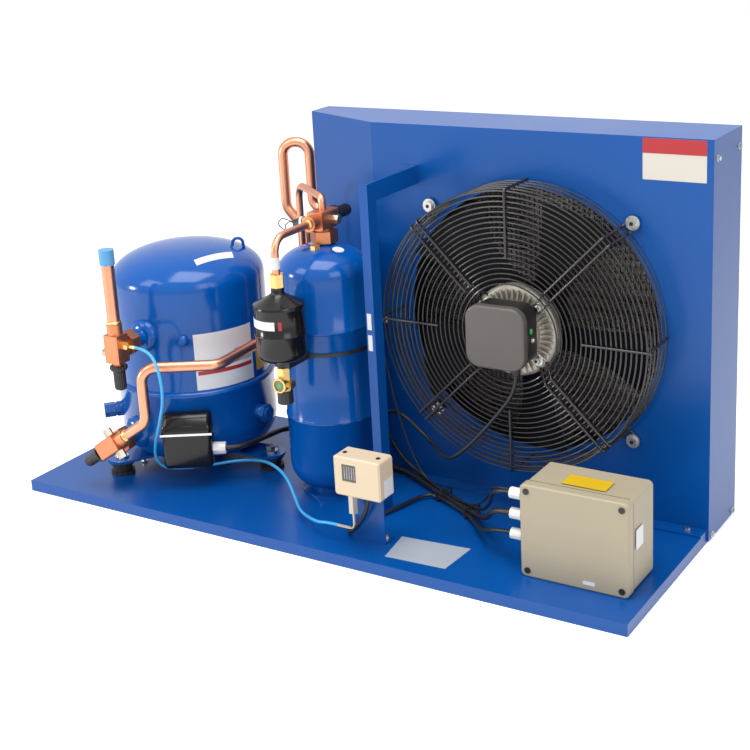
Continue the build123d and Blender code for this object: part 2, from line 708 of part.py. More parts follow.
def receiver_frame():
    """Receiver valve: its tube leaves to the front and its seat is below."""
    return Plane(origin=(RECEIVER_X, RECEIVER_VALVE_Y, RECEIVER_VALVE_Z), x_dir=(1, 0, 0), z_dir=(0, -1, 0))


def valve_body(frame, down=1):
    """Square forged body with a threaded tail, a tube socket and a spindle neck."""
    half, long = VALVE_WIDTH / 2, VALVE_LENGTH / 2
    body = Box(VALVE_WIDTH, VALVE_WIDTH, VALVE_LENGTH)
    body = chamfer(body.edges().filter_by(Axis.Z), 2)
    tail = rod((0, down * half, 0), (0, down, 0), STUB_R, VALVE_TAIL - 0.3)
    socket = rod((0, 0, long), (0, 0, 1), VALVE_SOCKET_R, VALVE_SOCKET)
    neck = rod((0, 0, -long), (0, 0, -1), VALVE_NECK_R, VALVE_NECK)
    bore = rod((0, 0, -long - VALVE_NECK), (0, 0, 1), STEM_BORE_R, VALVE_NECK + 8)
    return frame.location * (body + tail + socket + neck - bore)


def valve_nut(frame, down=1):
    """Union nut that joins the valve's tail to its stub."""
    start = VALVE_WIDTH / 2 + VALVE_TAIL - NUT_LENGTH / 2
    nut = hexagon((0, down * start, 0), (0, down, 0), NUT_FLATS, NUT_LENGTH, STUB_R + 0.1)
    return frame.location * nut


def valve_stem(frame):
    """Square-ended spindle in the neck's bore."""
    tip = -VALVE_LENGTH / 2 - VALVE_NECK - STEM_LENGTH + 20
    stem = Box(STEM_SIZE, STEM_SIZE, STEM_LENGTH, align=(Align.CENTER, Align.CENTER, Align.MIN))
    return frame.location * (Pos(0, 0, tip) * stem)


def valve_cap(frame):
    """Seal cap over the spindle: a flared skirt on the neck and a twelve-sided grip."""
    mouth = -VALVE_LENGTH / 2 - VALVE_NECK + 7
    grip = prism((0, 0, mouth), (0, 0, -1), CAP_R + 1, CAP_LENGTH)
    skirt = extrude(Plane(origin=(0, 0, mouth), z_dir=(0, 0, -1)) * RegularPolygon(CAP_FLARE_R, 12),
                    amount=9, taper=20)
    hollow = extrude(Plane(origin=(0, 0, mouth), z_dir=(0, 0, -1)) * polygon_about(VALVE_NECK_R + RUNNING_FIT, 12),
                     amount=CAP_LENGTH - 2 * CAP_WALL)
    return frame.location * (grip + skirt - hollow)


def gauge_plugs():
    """Hexagon plugs on the valves' gauge ports."""
    half = VALVE_WIDTH / 2
    places = [
        (suction_frame(), (-half, 0, -12), (-1, 0, 0)),
        (discharge_frame(), (-half, 0, 8), (-1, 0, 0)),
        (discharge_frame(), (half, 0, 10), (1, 0, 0)),
        (receiver_frame(), (half, 0, -6), (1, 0, 0)),
    ]
    return [frame.location * hexagon(start, direction, 14, 14) for frame, start, direction in places]


def suction_stub_tube():
    """Copper stub above the suction valve, for the suction line."""
    low = SUCTION_Z + VALVE_LENGTH / 2 + VALVE_SOCKET
    return ring((SUCTION_X, VALVE_Y, low), (0, 0, 1), SUCTION_TUBE_R, SUCTION_TUBE_R - 1.2, SUCTION_TUBE_TOP - low)


def suction_stub_cap():
    """Blue push-on cap that closes the suction stub."""
    outer = SUCTION_TUBE_R + STUB_CAP_WALL
    low = SUCTION_TUBE_TOP - STUB_CAP_LENGTH + STUB_CAP_WALL
    cap = rod((SUCTION_X, VALVE_Y, low), (0, 0, 1), outer, STUB_CAP_LENGTH + 0.3)
    hollow = rod((SUCTION_X, VALVE_Y, low), (0, 0, 1), SUCTION_TUBE_R + RUNNING_FIT, STUB_CAP_LENGTH - STUB_CAP_WALL + 0.3)
    return cap - hollow


# --- pipework --------------------------------------------------------------------------------------
def discharge_line():
    """Hot gas tube: from the discharge valve round the compressor, up into a tall loop, to the gas header."""
    start = Vector(DISCHARGE_X, VALVE_Y, DISCHARGE_Z) + DISCHARGE_AXIS * (VALVE_LENGTH / 2 + VALVE_SOCKET)
    rise_x = -315.0
    rise_z = DISCHARGE_Z + (rise_x - DISCHARGE_X) * tan(radians(DISCHARGE_TILT))
    points = [
        start, (rise_x, VALVE_Y, rise_z), (rise_x, VALVE_Y, 267), (-203, -125, 265), (-220, 186, 268),
        (-220, 186, 425), (-257, 180, 470), (-257, 180, 592), (-209, HOT_ENTRY_Y, 592),
        (-209, HOT_ENTRY_Y, HOT_ENTRY_Z), (HEADER_X - HEADER_R, HOT_ENTRY_Y, HOT_ENTRY_Z),
    ]
    return bent_rod(points, HOT_TUBE_R, BEND_R)


def liquid_line():
    """Liquid tube from the lower header through the slanted face, up and over to the receiver valve."""
    top = 541.0
    points = [
        (HEADER_X, HOT_ENTRY_Y - HEADER_R, LIQUID_ENTRY_Z), (HEADER_X, LIQUID_Y, LIQUID_ENTRY_Z),
        (HEADER_X, LIQUID_Y, top),
        (RECEIVER_X, RECEIVER_VALVE_Y, top), (RECEIVER_X, RECEIVER_VALVE_Y, RECEIVER_VALVE_Z + VALVE_WIDTH / 2),
    ]
    return bent_rod(points, LIQUID_TUBE_R, BEND_R - 8)


def drier_line():
    """Liquid tube from the receiver valve's socket, forward and down to the drier's nut."""
    front = RECEIVER_VALVE_Y - VALVE_LENGTH / 2 - VALVE_SOCKET
    points = [
        (RECEIVER_X, front, RECEIVER_VALVE_Z), (DRIER_X, DRIER_Y, RECEIVER_VALVE_Z),
        (DRIER_X, DRIER_Y, DRIER_TOP + DRIER_NECK + FLARE_NUT),
    ]
    return bent_rod(points, LIQUID_TUBE_R, BEND_R)


# --- receiver --------------------------------------------------------------------------------------
def receiver_shell():
    """Welded receiver: lower cup, barrel between two rolled beads, crown and rotolock stub."""
    r, low, high, top = RECEIVER_R, RECEIVER_LOW_SEAM, RECEIVER_HIGH_SEAM, RECEIVER_TOP
    bottom, shoulder, bead = RECEIVER_BOTTOM, top - RECEIVER_DOME, 1.5
    profile = [(0, bottom), (44, bottom + 3), (r - 6, bottom + 24), (r, bottom + 42), (r, low - bead),
               (r + bead, low), (r, low + bead), (r, high - bead), (r + bead, high), (r, high + bead),
               (r, shoulder), (r - 5, shoulder + 18), (r - 34, shoulder + 38), (0, top)]
    seat = RECEIVER_VALVE_Z - VALVE_WIDTH / 2 - VALVE_TAIL
    stub = rod((RECEIVER_X, RECEIVER_VALVE_Y, top - 12), (0, 0, 1), STUB_R, seat - top + 12)
    return turned(profile, RECEIVER_X, RECEIVER_Y) + stub


def receiver_foot():
    """Skirt and base ring that stand the receiver on the tray."""
    centre = (RECEIVER_X, RECEIVER_Y, TRAY_HEIGHT)
    high = RECEIVER_BOTTOM + 5 - TRAY_HEIGHT
    skirt = prism(centre, (0, 0, 1), SKIRT_R, high, 24, SKIRT_R - SHEET - 1)
    base = prism(centre, (0, 0, 1), SKIRT_R + 16, SHEET, 24, SKIRT_R - SHEET - 1)
    return skirt + base - receiver_shell()


def fusible_plug():
    """Brass fusible plug in the receiver's crown."""
    x, y = RECEIVER_X + 4, RECEIVER_Y - 26
    return hexagon((x, y, RECEIVER_TOP - 10), (0, 0, 1), 15, 14) - receiver_shell()


def branch_frame():
    """Service branch on the receiver valve's left side, sloping down."""
    t = radians(BRANCH_TILT)
    away = Vector(-cos(t), 0, -sin(t))
    start = Vector(RECEIVER_X - VALVE_WIDTH / 2 + 1, RECEIVER_VALVE_Y, RECEIVER_VALVE_Z - 4)
    return Plane(origin=start, x_dir=(0, 1, 0), z_dir=away)


def frame_box(x0, x1):
    """The half space to the right of a valve's left face, used to trim what meets it."""
    return block(x0, x1, RECEIVER_VALVE_Y - 60, RECEIVER_VALVE_Y + 60, RECEIVER_VALVE_Z - 60, RECEIVER_VALVE_Z + 60)


def branch_fitting():
    """Brass flare fitting of the service branch."""
    fitting = hexagon((0, 0, 0.8), (0, 0, 1), 12, 10) + hexagon((0, 0, 10.8), (0, 0, 1), 19, 13)
    fitting = fitting + prism((0, 0, 23.8), (0, 0, 1), 6, 12)
    keep = frame_box(RECEIVER_X - VALVE_WIDTH / 2, RECEIVER_X + 40)
    return branch_frame().location * fitting - keep


def branch_ring():
    """Plastic ring on the service branch."""
    return branch_frame().location * prism((0, 0, 24), (0, 0, 1), 11, 5, 12, 6.1)


def branch_cap():
    """Black cap on the service branch."""
    cap = prism((0, 0, 29.3), (0, 0, 1), 10, 14) - prism((0, 0, 29), (0, 0, 1), 6.4, 8)
    return branch_frame().location * cap


# --- filter drier and sight glass ------------------------------------------------------------------
def drier_body():
    """Drier shell with coned ends, a middle seam and two threaded necks."""
    r, low, high = DRIER_R, DRIER_BOTTOM, DRIER_TOP
    seam = (low + high) / 2 - 6
    profile = [(0, low - DRIER_NECK), (DRIER_NECK_R, low - DRIER_NECK), (DRIER_NECK_R, low),
               (r - 6, low + 8), (r, low + DRIER_CONE), (r, seam - 1.5), (r + 1.5, seam), (r, seam + 1.5),
               (r, high - DRIER_CONE), (r - 6, high - 8), (DRIER_NECK_R, high),
               (DRIER_NECK_R, high + DRIER_NECK), (0, high + DRIER_NECK)]
    return turned(profile, DRIER_X, DRIER_Y)


def flare_nut():
    """Brass flare nut above the drier."""
    return hexagon((DRIER_X, DRIER_Y, DRIER_TOP + DRIER_NECK), (0, 0, 1), FLARE_NUT_FLATS, FLARE_NUT)


def sight_glass_body():
    """Brass sight-glass body: hexagon shank, round eye to the front, side boss and outlet thread."""
    x, y, top = DRIER_X, DRIER_Y, SIGHT_TOP
    shank = hexagon((x, y, top - SIGHT_LENGTH), (0, 0, 1), 20, SIGHT_LENGTH)
    eye = prism((x, y, top - 28), (0, -1, 0), SIGHT_SIZE / 2, 15, 16)
    seat = prism((x, y - 12, top - 28), (0, -1, 0), SIGHT_SIZE / 2 - 2, 6, 16)
    side = hexagon((x, y, top - 28), (1, 0, 0), 14, 17)
    outlet = prism((x, y, top - SIGHT_LENGTH - 14), (0, 0, 1), 8, 15)
    return shank + eye + side + outlet - seat


def sight_glass_lens():
    """Glass of the liquid indicator."""
    return prism((DRIER_X, DRIER_Y - 12, SIGHT_TOP - 28), (0, -1, 0), SIGHT_SIZE / 2 - 2, 2.4, 16)


def outlet_cap():
    """Black flare cap on the liquid outlet."""
    mouth = SIGHT_TOP - SIGHT_LENGTH - 1
    cap = prism((DRIER_X, DRIER_Y, mouth), (0, 0, -1), 13.5, 21)
    hollow = extrude(Plane(origin=(DRIER_X, DRIER_Y, mouth), z_dir=(0, 0, -1)) * polygon_about(8 + RUNNING_FIT, 12),
                     amount=16)
    return cap - hollow


def drier_strap():
    """Clamp band round the receiver."""
    return ring((RECEIVER_X, RECEIVER_Y, STRAP_Z), (0, 0, 1), RECEIVER_R + 1.6, RECEIVER_R, STRAP_HEIGHT)


def drier_clip():
    """Plastic clip between the band and the drier's lower neck."""
    front = DRIER_Y - 5
    rear = RECEIVER_Y - RECEIVER_R - 1.6
    clip = block(DRIER_X - 14, DRIER_X + 16, front, rear + 8, STRAP_Z - 1, STRAP_Z + STRAP_HEIGHT + 4)
    clip = clip - rod((DRIER_X, DRIER_Y, STRAP_Z - 20), (0, 0, 1), DRIER_NECK_R + 0.1, 60)
    clip = clip - rod((RECEIVER_X, RECEIVER_Y, STRAP_Z - 20), (0, 0, 1), RECEIVER_R + 1.9, 60)
    return clip


# --- post, switch and electrical box ---------------------------------------------------------------
def support_post():
    """Folded post: a web with a front flange, a top arm back to the panel and a foot on the tray."""
    rear = POST_FRONT + POST_DEPTH
    web = block(POST_X - SHEET, POST_X, POST_FRONT, rear, TRAY_HEIGHT, POST_TOP)
    flange = block(POST_X - POST_FLANGE, POST_X, POST_FRONT, POST_FRONT + SHEET, TRAY_HEIGHT, POST_TOP)
    arm = block(POST_X - SHEET, POST_X, POST_FRONT, PANEL_Y, POST_TOP - ARM_HEIGHT, POST_TOP)
    ear = block(POST_X - 32, POST_X, PANEL_Y - SHEET, PANEL_Y, POST_TOP - ARM_HEIGHT, POST_TOP)
    foot = block(POST_X - 30, POST_X, POST_FRONT, rear, TRAY_HEIGHT, TRAY_HEIGHT + SHEET)
    return web + flange + arm + ear + foot


def post_bolts():
    """Bolts of the post's ear and foot."""
    ear = washer_head((POST_X - 17, PANEL_Y - SHEET, POST_TOP - ARM_HEIGHT / 2), (0, -1, 0), 8, 6)
    foot = washer_head((POST_X - 19, POST_FRONT + POST_DEPTH / 2 + 2, TRAY_HEIGHT + SHEET), (0, 0, 1), 7, 5)
    return ear, foot


def switch_bracket():
    """Angle bracket that carries the pressure switch above the tray."""
    x0, x1 = SWITCH_X - 9 - BRACKET_WIDTH / 2, SWITCH_X - 9 + BRACKET_WIDTH / 2
    plate = block(x0, x1, SWITCH_BACK, SWITCH_BACK + SHEET, TRAY_HEIGHT, SWITCH_BOTTOM + SWITCH_HEIGHT - 12)
    foot = block(x0, x1, SWITCH_BACK, SWITCH_BACK + 28, TRAY_HEIGHT, TRAY_HEIGHT + SHEET)
    return plate + foot


def switch_base():
    """Rear half of the pressure switch's housing."""
    half = SWITCH_WIDTH / 2
    base = block(SWITCH_X - half, SWITCH_X + half, SWITCH_BACK - 12, SWITCH_BACK, SWITCH_BOTTOM,
                 SWITCH_BOTTOM + SWITCH_HEIGHT)
    return fillet(base.edges().filter_by(Axis.Y), 5)


def switch_cover():
    """Front cover of the switch with its window recess and two spindle holes."""
    half = SWITCH_WIDTH / 2
    front = SWITCH_BACK - SWITCH_DEPTH
    top = SWITCH_BOTTOM + SWITCH_HEIGHT
    cover = block(SWITCH_X - half, SWITCH_X + half, front, SWITCH_BACK - 12, SWITCH_BOTTOM, top)
    cover = fillet(cover.edges().filter_by(Axis.Y), 5)
    cover = chamfer(cover.faces().sort_by(Axis.Y)[0].edges(), 2.5)
    window = block(SWITCH_X - half + 16, SWITCH_X - half + 42, front - 1, front + 2, SWITCH_BOTTOM + 26, top - 12)
    wells = [rod((x, SPINDLE_Y, top - 9), (0, 0, 1), SPINDLE_R + RUNNING_FIT, 10) for x in spindle_places()]
    return cover - window - wells


def spindle_places():
    """The two adjusting spindles, left and right."""
    return SWITCH_X - SPINDLE_SPACING / 2, SWITCH_X + SPINDLE_SPACING / 2


def switch_spindle(x):
    """Slotted adjusting spindle in its well."""
    top = SWITCH_BOTTOM + SWITCH_HEIGHT
    spindle = rod((x, SPINDLE_Y, top - 8.8), (0, 0, 1), SPINDLE_R, 10)
    slot = block(x - SPINDLE_R - 1, x + SPINDLE_R + 1, SPINDLE_Y - 0.6, SPINDLE_Y + 0.6, top - 0.3, top + 3)
    return spindle - slot


def switch_connector():
    """Flare connector under the switch: union nut and an elbow for the capillary."""
    top = SWITCH_BOTTOM
    body = hexagon((CONNECTOR_X, CONNECTOR_Y, top - 36), (0, 0, 1), 14, 36)
    route = [(CONNECTOR_X, CONNECTOR_Y, top - 35), (CONNECTOR_X, CONNECTOR_Y, HOSE_END_Z),
             (HOSE_END_X, CONNECTOR_Y, HOSE_END_Z)]
    return body + bent_rod(route, 2.4, 9, 6)


def switch_grommet():
    """Cable entry under the switch."""
    return prism((SWITCH_CABLE_X, SWITCH_CABLE_Y, SWITCH_BOTTOM - 5), (0, 0, 1), 5.5, 5)


def control_box():
    """Electrical box behind its lid."""
    half = BOX_WIDTH / 2
    box = block(BOX_X - half + 1.5, BOX_X + half - 1.5, BOX_FRONT + BOX_LID, BOX_FRONT + BOX_DEPTH, TRAY_HEIGHT,
                TRAY_HEIGHT + BOX_HEIGHT - 1.5)
    return fillet(box.edges().filter_by(Axis.Y), 8)


def control_box_lid():
    """Lid with rounded corners and a bevelled front edge."""
    half = BOX_WIDTH / 2
    lid = block(BOX_X - half, BOX_X + half, BOX_FRONT, BOX_FRONT + BOX_LID, TRAY_HEIGHT, TRAY_HEIGHT + BOX_HEIGHT)
    lid = fillet(lid.edges().filter_by(Axis.Y), 8)
    return chamfer(lid.faces().sort_by(Axis.Y)[0].edges(), 2)


def box_corners():
    """Centres of the lid's corner screws."""
    half = BOX_WIDTH / 2 - 11
    low, high = TRAY_HEIGHT + 11, TRAY_HEIGHT + BOX_HEIGHT - 11
    return [(BOX_X + side * half, z) for side in (-1, 1) for z in (low, high)]


def control_box_screws():
    """Dark lid screws, flush heads on the lid's face."""
    return [prism((x, BOX_FRONT, z), (0, -1, 0), 5, 1.5) for x, z in box_corners()]


def gland(start, direction, r, length):
    """Cable gland: hexagon against the wall and a round nut."""
    tip = Vector(*start) + Vector(*direction).normalized() * (0.4 * length)
    return hexagon(start, direction, 1.75 * r, 0.4 * length) + prism(tip, direction, r, 0.6 * length)


def box_glands():
    """Three white glands on the box's left side."""
    wall = BOX_X - BOX_WIDTH / 2 + 1.5
    return [gland((wall, BOX_GLAND_Y, TRAY_HEIGHT + z), (-1, 0, 0), BOX_GLAND_R, BOX_GLAND)
            for z in BOX_GLAND_HEIGHTS]


def cover_gland_frame():
    """Start and direction of the gland on the terminal cover's right side."""
    frame = cover_frame(COVER_GLAND_Z)
    start = frame.location * Pos(COVER_WIDTH / 2, -(SHELL_R + 15), 0)
    return start.position, frame.x_dir


def terminal_gland():
    """White gland of the compressor's terminal cover."""
    start, direction = cover_gland_frame()
    return gland(start, direction, 11, COVER_GLAND)


def fan_gland():
    """White gland under the fan's terminal box."""
    return gland(FAN_GLAND_TOP, (0, 0, -1), 7.5, 13)


# --- other fittings --------------------------------------------------------------------------------
def oil_cap():
    """Hexagon cap on the oil connection, low on the shell's left."""
    start = at_compressor(OIL_CAP_ANGLE, SHELL_R + 12, OIL_CAP_Z)
    return hexagon(start, outward(OIL_CAP_ANGLE), 24, 20)


def oil_sight_glass():
    """Oil sight glass: hexagon nut with its dark window."""
    start = at_compressor(SIGHT_ANGLE, SHELL_R + 12, SIGHT_Z)
    window = at_compressor(SIGHT_ANGLE, SHELL_R + 20, SIGHT_Z)
    out = outward(SIGHT_ANGLE)
    return hexagon(start, out, 30, 8) + prism(window, out, 12, 4)


def terminal_strap():
    """Wire strap that holds the terminal cover."""
    frame = cover_frame(COVER_BOTTOM + COVER_HEIGHT - 34)
    reach = SHELL_R + COVER_DEPTH - 6
    band = block(-COVER_WIDTH / 2 - 2, COVER_WIDTH / 2 + 2, -reach - 2, -SHELL_R - 4, 0, 4)
    inner = block(-COVER_WIDTH / 2, COVER_WIDTH / 2, -reach, 0, -1, 5)
    return frame.location * (band - inner)


def capillary_fitting():
    """Brass fitting and crimped ferrule where the capillary leaves the suction valve."""
    face = SUCTION_X + VALVE_WIDTH / 2
    fitting = hexagon((face, VALVE_Y, CAPILLARY_Z), (1, 0, 0), 13, 14)
    ferrule = prism((face + 14, VALVE_Y, CAPILLARY_Z), (1, 0, 0), 3.4, CAPILLARY_START - face - 14, 8)
    return fitting + ferrule


def panel_screws():
    """Screws of the housing, its bottom flange and the switch bracket, as heads on their washers."""
    flange_top = TRAY_HEIGHT + SHEET
    screws = [
        washer_head((FLANGE_SCREW_X, PANEL_Y - 11, flange_top), (0, 0, 1), 6, 5),
        washer_head((PANEL_LEFT + 40, PANEL_Y - 11, flange_top), (0, 0, 1), 6, 5),
        washer_head((SWITCH_X + 13, SWITCH_BACK + 16, flange_top), (0, 0, 1), 7, 6),
        washer_head((SWITCH_X - 31, SWITCH_BACK + 16, flange_top), (0, 0, 1), 7, 6),
    ]
    for y, z in ((PANEL_Y + 14, TRAY_HEIGHT / 2), (HALF_WIDTH - 14, TRAY_HEIGHT / 2), (PANEL_Y + 14, HOUSING_TOP - 30),
                 (HALF_WIDTH - 14, HOUSING_TOP - 30)):
        screws.append(washer_head((HALF_LENGTH + SHEET, y, z), (1, 0, 0), 5.5, 5))
    return screws


def tray_studs():
    """Two spare fixing bolts in the tray under the compressor."""
    return [washer_head((x, y, TRAY_HEIGHT), (0, 0, 1), 7, 6) for x, y in ((-450, -67), (-352, -46))]


def lead_grommet():
    """Small grommet where the thin lead leaves the panel."""
    return prism((LEAD_X, PANEL_Y, LEAD_Z), (0, -1, 0), 5, 4)


# --- cables ----------------------------------------------------------------------------------------
BUNDLE = [Vector(109, 45, 28), Vector(228, -17, 28)]
BUNDLE_SIDE = (BUNDLE[1] - BUNDLE[0]).normalized().cross(Vector(0, 0, -1))
GLAND_TIP_X = BOX_X - BOX_WIDTH / 2 + 1.5 - BOX_GLAND


def into_gland(height, y=BOX_GLAND_Y):
    """The last straight run into one of the box's glands."""
    z = TRAY_HEIGHT + height
    return [(GLAND_TIP_X - 34, y, z), (GLAND_TIP_X, y, z)]


def bundled(side, lift=0.0):
    """The bundle's straight run, moved sideways for one of its cables."""
    return [point + BUNDLE_SIDE * (side * BUNDLE_PITCH) + Vector(0, 0, lift) for point in BUNDLE]


def compressor_cable():
    """Cable from the compressor's terminal cover, behind the receiver, to the middle gland."""
    start, direction = cover_gland_frame()
    tip = start + direction * COVER_GLAND
    route = [
        tip, tip + direction * 26, (-206, -10, 88), (-204, 60, 84), (-150, 100, 72), (-70, 104, 46),
        (-10, 88, 31), (46, 78, 30), *bundled(0), (290, -86, 62), *into_gland(BOX_GLAND_HEIGHTS[1]),
    ]
    return bent_rod(route, MAIN_CABLE_R, 40, 6)


def fan_cable():
    """Cable from the fan's terminal box, under the guard and behind the post, to the top gland."""
    x, y, z = FAN_GLAND_TOP
    route = [
        (x, y, z - 13), (x, y, z - 40), (268, -4, 205), (215, -2, 142), (168, 4, 104), (128, 42, 104),
        (82, 62, 120), (26, 66, 156), (6, 76, 112), (30, 93, 40), (62, 86, 29), *bundled(1),
        (296, -84, 90), *into_gland(BOX_GLAND_HEIGHTS[2]),
    ]
    return bent_rod(route, THIN_CABLE_R, 40, 5)


def switch_cable():
    """Cable from the pressure switch, round its bracket, to the bottom gland."""
    x, y, z = SWITCH_CABLE_X, SWITCH_CABLE_Y, SWITCH_BOTTOM - 5
    route = [
        (x, y, z), (x, y, z - 16), (110, -174.5, 62), (88, -174, 36), (68, -166, 26), (66, -128, 25),
        (96, -62, 25), (118, 6, 26), *bundled(-1), (284, -96, 42), *into_gland(BOX_GLAND_HEIGHTS[0]),
    ]
    return bent_rod(route, THIN_CABLE_R, 40, 5)


def sensor_lead():
    """Thin lead from the panel's grommet, down behind the post, along the bundle to the top gland."""
    route = [
        (LEAD_X, PANEL_Y - 4, LEAD_Z), (LEAD_X, PANEL_Y - 22, LEAD_Z), (10, 62, 285), (27, 54, 228),
        (44, 53, 150), (74, 56, 60), *bundled(0, 7.5), (296, -76, 108),
        *into_gland(BOX_GLAND_HEIGHTS[2] + 2, BOX_GLAND_Y + 5.2),
    ]
    return bent_rod(route, LEAD_R, 30, 5)


def capillary_hose():
    """Blue capillary from the suction valve, under the terminal cover and past the receiver, to the switch."""
    route = [
        (CAPILLARY_START, VALVE_Y, CAPILLARY_Z), (-290, VALVE_Y, CAPILLARY_Z), (-258, -212, 270),
        (-256, -212, 222), (-286, -196, 166), (-328, -167, 110), (-342, -152, 74), (-328, -136, 52),
        (-270, -86, 53), (-236, -48, 53), (-200, -36, 55), (-160, -50, 60), (-105, -84, 60), (-70, -110, 36),
        (-40, -140, 30), (20, -178, 40), (HOSE_END_X - 20, CONNECTOR_Y, HOSE_END_Z),
        (HOSE_END_X, CONNECTOR_Y, HOSE_END_Z),
    ]
    return bent_rod(route, HOSE_R, 30, 5)


def cable_ties():
    """Two ties round the bundle."""
    ties = []
    run = BUNDLE[1] - BUNDLE[0]
    for share in (0.3, 0.94):
        centre = BUNDLE[0] + run * share + Vector(0, 0, 1.6)
        plane = Plane(origin=centre, x_dir=BUNDLE_SIDE, z_dir=run.normalized())
        outer = Rectangle(31.6, 18.6)
        inner = Rectangle(29, 16)
        ties.append(extrude(plane * (outer - inner), amount=2.2, both=True))
    return ties


# --- build -----------------------------------------------------------------------------------------
VALVES = {"suction": (suction_frame(), 1), "discharge": (discharge_frame(), 1), "receiver": (receiver_frame(), -1)}

save("base_tray", base_tray())
save("housing_wrap", housing_wrap())
save("housing_top", housing_top())
save("housing_side", housing_side())
save("fan_inlet_ring", fan_inlet_ring())
save("coil_fins", coil_fins())
save("coil_end_plates", *coil_end_plates())
save("coil_tubes", *coil_headers(), *coil_return_bends())
save("fan_guard", *fan_guard())
save("fan_motor_stator", fan_motor_stator())
save("fan_terminal_box", fan_terminal_box())
save("fan_terminal_lid", fan_terminal_lid())
save("fan_rotor_hub", fan_rotor_hub())
save("fan_blades", *fan_blades())
save("compressor_lower_shell", compressor_lower_shell())
save("compressor_upper_shell", compressor_upper_shell())
save("compressor_pump_block", compressor_pump_block())
save("compressor_feet", compressor_feet())
save("compressor_grommets", *compressor_grommets())
save("compressor_terminal_cover", compressor_terminal_cover())
save("terminal_strap", terminal_strap())
save("oil_cap", oil_cap())
save("oil_sight_glass", oil_sight_glass())
save("service_valve_bodies", *[valve_body(frame, down) for frame, down in VALVES.values()])
save("rotolock_nuts", *[valve_nut(frame, down) for frame, down in VALVES.values()])
for name, (frame, down) in VALVES.items():
    save(f"{name}_valve_stem", valve_stem(frame))
    save(f"{name}_valve_cap", valve_cap(frame))
save("plated_fittings", *gauge_plugs(), switch_connector())
save("brass_fittings", capillary_fitting(), branch_fitting(), flare_nut(), fusible_plug())
save("suction_stub_cap", suction_stub_cap())
save("discharge_line", discharge_line())
save("copper_lines", liquid_line(), drier_line(), suction_stub_tube())
save("receiver_shell", receiver_shell())
save("receiver_foot", receiver_foot())
save("drier_body", drier_body())
save("sight_glass_body", sight_glass_body())
save("sight_glass_lens", sight_glass_lens())
save("outlet_cap", outlet_cap())
save("plastic_trim", drier_strap(), drier_clip(), *cable_ties(), branch_cap(), branch_ring())
save("support_post", support_post())
save("switch_bracket", switch_bracket())
save("switch_base", switch_base())
save("switch_cover", switch_cover())
for side, x in zip(("left", "right"), spindle_places()):
    save(f"switch_spindle_{side}", switch_spindle(x))
save("control_box", control_box())
save("control_box_lid", control_box_lid())
save("control_box_screws", *control_box_screws())
save("fixing_bolts", *guard_bolts(), *compressor_foot_bolts(), *post_bolts(), *panel_screws(), *tray_studs())
save("cable_glands", *box_glands(), terminal_gland(), fan_gland(), lead_grommet(), switch_grommet())
save("compressor_cable", compressor_cable())
save("fan_cable", fan_cable())
save("switch_cable", switch_cable())
save("sensor_lead", sensor_lead())
save("capillary_hose", capillary_hose())
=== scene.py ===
# %% [markdown]
# # A refrigeration condensing unit
#
# The unit stands on a folded steel tray: a compressor, a liquid receiver with a filter drier, a pressure
# switch, an electrical box, and a sheet housing with a guarded fan in front of a coil. All of it could be
# modelled here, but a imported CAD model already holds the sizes, so it is the frame of this lesson. Every
# finished piece is placed in its millimetres, rides on one of its bodies, and stays inside its box.

# %% Load the frame and measure it
import math

import bmesh
import bpy
from mathutils import Matrix, Vector


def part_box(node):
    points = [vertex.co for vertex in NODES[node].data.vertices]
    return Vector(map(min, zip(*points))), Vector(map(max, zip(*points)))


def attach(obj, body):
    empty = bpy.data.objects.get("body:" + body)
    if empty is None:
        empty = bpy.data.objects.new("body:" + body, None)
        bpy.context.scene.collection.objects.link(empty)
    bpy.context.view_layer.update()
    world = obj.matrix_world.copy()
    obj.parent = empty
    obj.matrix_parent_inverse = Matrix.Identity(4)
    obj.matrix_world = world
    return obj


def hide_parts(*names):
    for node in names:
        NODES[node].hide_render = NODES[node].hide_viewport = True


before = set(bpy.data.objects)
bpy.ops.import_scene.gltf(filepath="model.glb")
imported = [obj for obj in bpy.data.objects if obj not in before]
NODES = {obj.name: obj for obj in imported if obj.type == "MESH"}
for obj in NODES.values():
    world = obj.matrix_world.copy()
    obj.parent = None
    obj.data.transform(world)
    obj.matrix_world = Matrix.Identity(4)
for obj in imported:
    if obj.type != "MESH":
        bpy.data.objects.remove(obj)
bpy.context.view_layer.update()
MM = 0.001

# %% [markdown]
# ## The camera
#
# A long lens looks down a little at the front. A camera could be aimed with a Track To constraint, but that
# allows no roll and keeps the optical axis on the target. Here three angles give its axes, and a shift moves
# the axis away from the middle of the view, so that upright edges stay nearly upright.

# %% Camera
FOCAL_LENGTH, SENSOR_WIDTH, SHIFT, FAR_END = 68.46, 36.0, -0.1, 50
CAMERA_PLACE = (1.28205, -1.91473, 1.05834)
AZIMUTH, ELEVATION, ROLL = (math.radians(angle) for angle in (32.902, 16.699, -3.187))

scene = bpy.context.scene
scene.view_settings.view_transform = "Standard"
back = Vector((math.sin(AZIMUTH) * math.cos(ELEVATION), -math.cos(AZIMUTH) * math.cos(ELEVATION),
               math.sin(ELEVATION)))
level = Vector((math.cos(AZIMUTH), math.sin(AZIMUTH), 0))
rise = back.cross(level)
right = math.cos(ROLL) * level + math.sin(ROLL) * rise
up = -math.sin(ROLL) * level + math.cos(ROLL) * rise
lens = bpy.data.cameras.new("camera")
lens.lens, lens.sensor_width, lens.shift_y, lens.clip_end = FOCAL_LENGTH, SENSOR_WIDTH, SHIFT, FAR_END
camera = bpy.data.objects.new("camera", lens)
camera.matrix_world = Matrix.Translation(CAMERA_PLACE) @ Matrix((right, up, back)).transposed().to_4x4()
scene.collection.objects.link(camera)
scene.camera = camera
print("camera at", tuple(round(c, 3) for c in camera.matrix_world.translation))

